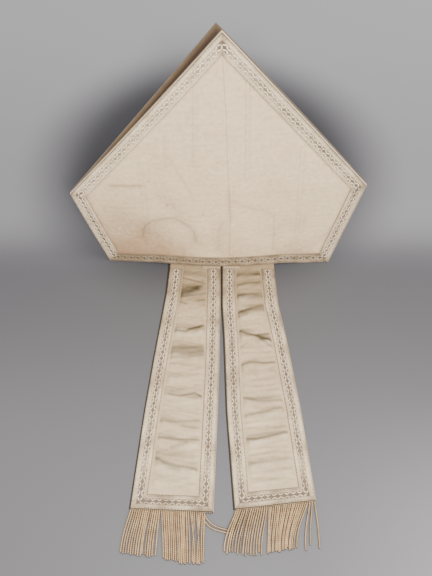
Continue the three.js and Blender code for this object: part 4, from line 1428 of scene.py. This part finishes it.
# where the tips lie: share along the fringe from its outer side, then x and y
FRINGE_TIPS = {
    "left": [(0.0, -106, -399), (0.2, -87, -402), (0.39, -69, -402), (0.41, -60, -405), (0.6, -45, -408.5),
             (0.8, -29.5, -410), (1.0, -16.5, -409)],
    "right": [(0.0, 106.5, -394), (0.02, 105.5, -394), (0.045, 94, -391), (0.07, 91, -397), (0.1, 79.5, -394),
              (0.35, 65, -397), (0.585, 50, -400), (0.605, 44.5, -401), (0.8, 24, -400), (1.0, 3, -398)],
}


def fringe_paths(side):
    plan = LAPPET_PLANS[side][-1]
    rng = np.random.default_rng(91 if side == "left" else 95)
    tips = np.array(FRINGE_TIPS[side])
    paths = []
    for i in range(CORDS):
        share = (i + 0.5) / CORDS
        head = mix(0.008, 0.905 if side == "left" else 0.985, share)
        top = np.array([mix(plan[0], plan[2], head), mix(plan[1], plan[3], head) + 1.2])
        tip = np.array([np.interp(share, tips[:, 0], tips[:, 1]) + rng.normal(0, 0.22),
                        np.interp(share, tips[:, 0], tips[:, 2]) + rng.normal(0, 1.1)])
        if side == "left" and i in (29, 32):
            tip[0] += 3.4
        if side == "left" and i in (31, 34):
            tip[0] -= 2.8
        v = np.linspace(0, 1, 26)
        sway = rng.normal(0, 0.22) * np.sin(np.pi * v) + rng.normal(0, 0.16) * np.sin(2 * np.pi * v)
        x = mix(top[0], tip[0], np.sin(v * np.pi / 2) ** 1.2) + sway
        y = mix(top[1], tip[1], v)
        crossing = 1.5 * np.sin(np.pi * np.clip(v * 1.2 - 0.2, 0, 1)) if i in (29, 32) else 0.0
        z = CORD_RADIUS + 0.1 + 0.65 * (1 - v) ** 2 + 0.35 * (i % 2) * np.sin(np.pi * v) + crossing
        if side == "right" and i > 29:
            z = z + 1.9 * np.exp(-((v - 0.5) / 0.25) ** 2)
        paths.append({"points": np.stack([x, y, z], -1), "girth": 1.0 + rng.normal(0, 0.05)})
    return paths


# The two cords that stray from the left fringe under the right one.
STRAYS = [
    [(-17.5, -353.5, 1.7), (-16.5, -357, 1.3), (-13.5, -362.5, 1.2), (-8.5, -367.5, 1.15),
     (-3.0, -370.5, 1.15), (3.5, -372.8, 1.15), (10.0, -374.2, 1.15), (16.5, -375.6, 1.15)],
    [(-19.5, -353.5, 1.7), (-19.0, -358, 1.3), (-16.5, -364, 1.2), (-11.5, -370, 1.15),
     (-5.5, -373.4, 1.15), (1.5, -375.6, 1.15), (8.0, -376.8, 1.15), (14.0, -377.6, 1.15)],
]


def smooth_path(points, steps=7):
    points = np.array(points, float)
    padded = np.vstack([2 * points[0] - points[1], points, 2 * points[-1] - points[-2]])
    line = []
    for i in range(len(points) - 1):
        p0, p1, p2, p3 = padded[i:i + 4]
        for t in np.linspace(0, 1, steps, endpoint=False):
            line.append(0.5 * (2 * p1 + (p2 - p0) * t + (2 * p0 - 5 * p1 + 4 * p2 - p3) * t**2
                               + (3 * p1 - p0 - 3 * p2 + p3) * t**3))
    return np.array(line + [points[-1]])


# %% The tree that twists cords


def cord_tree():
    tree, given, result = geometry_tree("Twisted cords", [
        ("Radius", "NodeSocketFloat", CORD_RADIUS * MM),
        ("Lobe Depth", "NodeSocketFloat", 0.08),
        ("Pitch", "NodeSocketFloat", 0.0040),
        ("Step", "NodeSocketFloat", 0.0005),
        ("Sides", "NodeSocketInt", 10),
        ("Material", "NodeSocketMaterial", None),
    ])
    curve = step(tree, "GeometryNodeMeshToCurve", Mesh=given["Geometry"])[0]
    even = step(tree, "GeometryNodeResampleCurve", {"mode": "LENGTH"}, Curve=curve, Length=given["Step"])[0]
    path = step(tree, "GeometryNodeSplineParameter")
    start = step(tree, "GeometryNodeInputNamedAttribute", {"data_type": "FLOAT"}, Name="phase")[0]
    turns = math_step(tree, "ADD", math_step(tree, "DIVIDE", path["Length"], given["Pitch"]), start)
    tilt = math_step(tree, "MULTIPLY", turns, 2 * math.pi)
    turned = step(tree, "GeometryNodeSetCurveTilt", Curve=even, Tilt=tilt)[0]
    height = step(tree, "ShaderNodeSeparateXYZ", _0=step(tree, "GeometryNodeInputPosition")[0])[2]
    level = step(tree, "GeometryNodeStoreNamedAttribute", {"data_type": "FLOAT", "domain": "POINT"},
                 Geometry=turned, Name="level", Value=height)[0]
    down = step(tree, "GeometryNodeStoreNamedAttribute", {"data_type": "FLOAT", "domain": "POINT"},
                Geometry=level, Name="down", Value=path["Factor"])[0]
    circle = step(tree, "GeometryNodeCurvePrimitiveCircle", Resolution=given["Sides"],
                  Radius=given["Radius"])[0]
    round_angle = math_step(tree, "MULTIPLY", path["Factor"], 4 * math.pi)
    lobe = math_step(tree, "COSINE", round_angle)
    swell = math_step(tree, "ADD", 1.0, math_step(tree, "MULTIPLY", lobe, given["Lobe Depth"]))
    position = step(tree, "GeometryNodeInputPosition")[0]
    pushed = step(tree, "ShaderNodeVectorMath", {"operation": "SCALE"}, Vector=position, Scale=swell)[0]
    section = step(tree, "GeometryNodeSetPosition", Geometry=circle, Position=pushed)[0]
    share = math_step(tree, "ADD", math_step(tree, "MULTIPLY", lobe, 0.5), 0.5)
    marked = step(tree, "GeometryNodeStoreNamedAttribute", {"data_type": "FLOAT", "domain": "POINT"},
                  Geometry=section, Name="lobe", Value=share)[0]
    girth = step(tree, "GeometryNodeInputNamedAttribute", {"data_type": "FLOAT"}, Name="girth")[0]
    ends = math_step(tree, "MULTIPLY", path["Factor"], math_step(tree, "SUBTRACT", 1.0, path["Factor"]))
    closing = math_step(tree, "MINIMUM", math_step(tree, "MULTIPLY", ends, END_STEEPNESS), 1.0)
    taper = math_step(tree, "POWER", closing, 0.5)
    scale = math_step(tree, "MULTIPLY", girth, math_step(tree, "MAXIMUM", taper, THINNEST_END))
    cords = step(tree, "GeometryNodeCurveToMesh", Curve=down, Profile_Curve=marked, Scale=scale,
                 Fill_Caps=True)[0]
    smooth = step(tree, "GeometryNodeSetShadeSmooth", Geometry=cords)[0]
    solid = step(tree, "GeometryNodeRealizeInstances", Geometry=smooth)[0]
    finished = step(tree, "GeometryNodeSetMaterial", Geometry=solid, Material=given["Material"])[0]
    tree.links.new(finished, result[0])
    return tree


twisted_tree = cord_tree()


def cord_lines(name, paths):
    """Cord paths as one mesh of lines, each with its own girth."""
    points, edges, girth, phase = [], [], [], []
    for number, path in enumerate(paths):
        first = sum(len(p) for p in points)
        points.append(in_frame(path["points"]))
        girth.append(np.full(len(path["points"]), path["girth"]))
        phase.append(np.full(len(path["points"]), number * 0.618))
        edges += [(first + i, first + i + 1) for i in range(len(path["points"]) - 1)]
    mesh = bpy.data.meshes.new(name)
    mesh.from_pydata(np.concatenate(points).tolist(), edges, [])
    for key, values in (("girth", girth), ("phase", phase)):
        layer = mesh.attributes.new(key, "FLOAT", "POINT")
        layer.data.foreach_set("value", np.concatenate(values).astype(np.float32))
    lines = bpy.data.objects.new(name, mesh)
    bpy.context.scene.collection.objects.link(lines)
    return lines


def heading_path(side, back, level):
    plan = LAPPET_PLANS[side][-1]
    t = np.linspace(0, 1, 40)
    x, y = mix(plan[0], plan[2], t), mix(plan[1], plan[3], t) - back
    return np.stack([x, y, np.full(40, level)], -1)


for side in ("left", "right"):
    paths = fringe_paths(side)
    if side == "left":
        paths += [{"points": smooth_path(stray), "girth": 0.98} for stray in STRAYS]
    cords = grow(cord_lines(f"{side}_cords", paths), twisted_tree, {"Material": bullion})
    heading = grow(
        cord_lines(f"{side}_heading", [{"points": heading_path(side, 0.5, 2.3), "girth": 1.0}]),
        twisted_tree, {"Radius": 0.0008, "Lobe Depth": 0.3, "Pitch": 0.0045, "Material": bullion},
    )
    add_piece(f"fringe_{side}_cords", joined_mesh(f"fringe_{side}_cords", [cords, heading]),
                              [bullion], [f"fringe_{side}"])

# %% [markdown]


# %% [markdown]
# ## Table, light and camera
# The mitre stands on a plain grey table. One wide, shallow lamp above the camera's side of the table lights
# the silk, a weak broad lamp at the right adds some shape, and an even surround fills the rest. The darker
# parts of the table beside and behind the mitre are painted shade and shadow in its material, and its lighter
# parts further back and at the front right are painted light, so they aren't cast by the lamps. The camera
# stands behind the mitre and looks down on it, as one looks at a garment laid out on a table.

# %% The table
TABLE_HALF = 3.0
BACK_HEM_Y = 0.14
# The painted shadow behind the mitre: its middle and half sizes.
SHADE_MIDDLE = (-0.010, 0.34)  # the soft dark round behind the mitre
SHADE_HALF = (0.205, 0.19)


def table_material():
    material, tree, shader, place = start_material("Pale table")
    cloudy = place_group(tree, ageing, Vector=place, Patches_per_metre=3.0, Contrast=0.3)["Mask"]
    split = tree.nodes.new("ShaderNodeSeparateXYZ")
    tree.links.new(place, split.inputs[0])
    behind = calc(tree, "SUBTRACT", split.outputs[1], BACK_HEM_Y)
    # Painted shade in a band along the back hem, mostly in front of it.
    near = calc(tree, "MULTIPLY", spread(tree, behind, -0.40, 0.0), spread(tree, behind, 0.0, 0.10, 1.0, 0.0))
    base = blend_colours(tree, cloudy, linear(112, 111, 113), linear(107, 106, 108))
    base = blend_colours(tree, near, base, linear(76, 75, 77), 0.8)
    # Painted light: the table grows lighter further behind the mitre.
    base = blend_colours(tree, spread(tree, split.outputs[1], 0.17, 0.26), base, linear(126, 125, 127))
    base = blend_colours(tree, spread(tree, split.outputs[1], 0.25, 0.80), base, linear(150, 149, 151))
    # A soft round of painted shadow behind the mitre.
    wide, deep = [
        calc(tree, "DIVIDE", calc(tree, "SUBTRACT", split.outputs[axis], SHADE_MIDDLE[axis]), SHADE_HALF[axis])
        for axis in (0, 1)
    ]
    from_middle = calc(tree, "SQRT", calc(tree, "ADD", calc(tree, "MULTIPLY", wide, wide),
                                          calc(tree, "MULTIPLY", deep, deep)))
    shade = spread(tree, from_middle, 0.8, 1.42, 1.0, 0.0)
    base = blend_colours(tree, shade, base, linear(56, 55, 58), 0.95)
    # Painted shade at the left, on the camera's side of the mitre.
    left = calc(tree, "MULTIPLY", spread(tree, split.outputs[0], -0.30, 0.10, 1.0, 0.0),
                spread(tree, split.outputs[1], -0.25, 0.05, 1.0, 0.0))
    base = blend_colours(tree, left, base, linear(84, 83, 85), 0.5)
    # Painted light at the front right.
    right = calc(tree, "MULTIPLY", spread(tree, split.outputs[0], 0.08, 0.28),
                 spread(tree, split.outputs[1], -0.30, 0.0, 1.0, 0.0))
    base = blend_colours(tree, right, base, linear(134, 132, 133), 0.8)
    tree.links.new(base, shader.inputs["Base Color"])
    shader.inputs["Roughness"].default_value = 0.75
    shader.inputs["Specular IOR Level"].default_value = 0.2
    return material


table_mesh = bpy.data.meshes.new("table")
table_mesh.from_pydata(
    [(-TABLE_HALF, -TABLE_HALF, 0), (TABLE_HALF, -TABLE_HALF, 0), (TABLE_HALF, TABLE_HALF, 0),
     (-TABLE_HALF, TABLE_HALF, 0)], [], [(0, 1, 2, 3)],
)
table_mesh.materials.append(table_material())
table = bpy.data.objects.new("table", table_mesh)
bpy.context.scene.collection.objects.link(table)

# %% The lights


def soft_lamp(name, location, target, size, power, colour):
    data = bpy.data.lights.new(name, "AREA")
    data.shape = "RECTANGLE"
    data.size, data.size_y = size
    data.energy = power
    data.color = colour
    lamp = bpy.data.objects.new(name, data)
    lamp.location = location
    lamp.rotation_euler = (Vector(target) - Vector(location)).to_track_quat("-Z", "Y").to_euler()
    bpy.context.scene.collection.objects.link(lamp)
    return lamp


MITRE_MIDDLE = (0.0, 0.1, 0.12)
soft_lamp("front", (0.07, -1.15, 1.42), MITRE_MIDDLE, (0.6, 0.14), 56.0, (1.0, 0.98, 0.95))
soft_lamp("side", (1.15, -0.25, 1.6), MITRE_MIDDLE, (1.2, 1.2), 30.0, (1.0, 0.975, 0.94))
world = bpy.data.worlds.new("surround")
world.use_nodes = True
world.node_tree.nodes["Background"].inputs["Color"].default_value = (0.97, 0.97, 1.0, 1.0)
world.node_tree.nodes["Background"].inputs["Strength"].default_value = 0.85
bpy.context.scene.world = world

# %% The camera
CAMERA_PLACE = (-4.0, -640.65, 857.0)  # pattern millimetres

camera_data = bpy.data.cameras.new("camera")
camera_data.lens = 50.0
camera_data.sensor_width = 36.0
camera_data.clip_start = 0.01
camera = bpy.data.objects.new("camera", camera_data)
camera.location = in_frame(CAMERA_PLACE)
camera.rotation_euler = (math.radians(34.14), 0.0, 0.0)
bpy.context.scene.collection.objects.link(camera)
bpy.context.scene.camera = camera
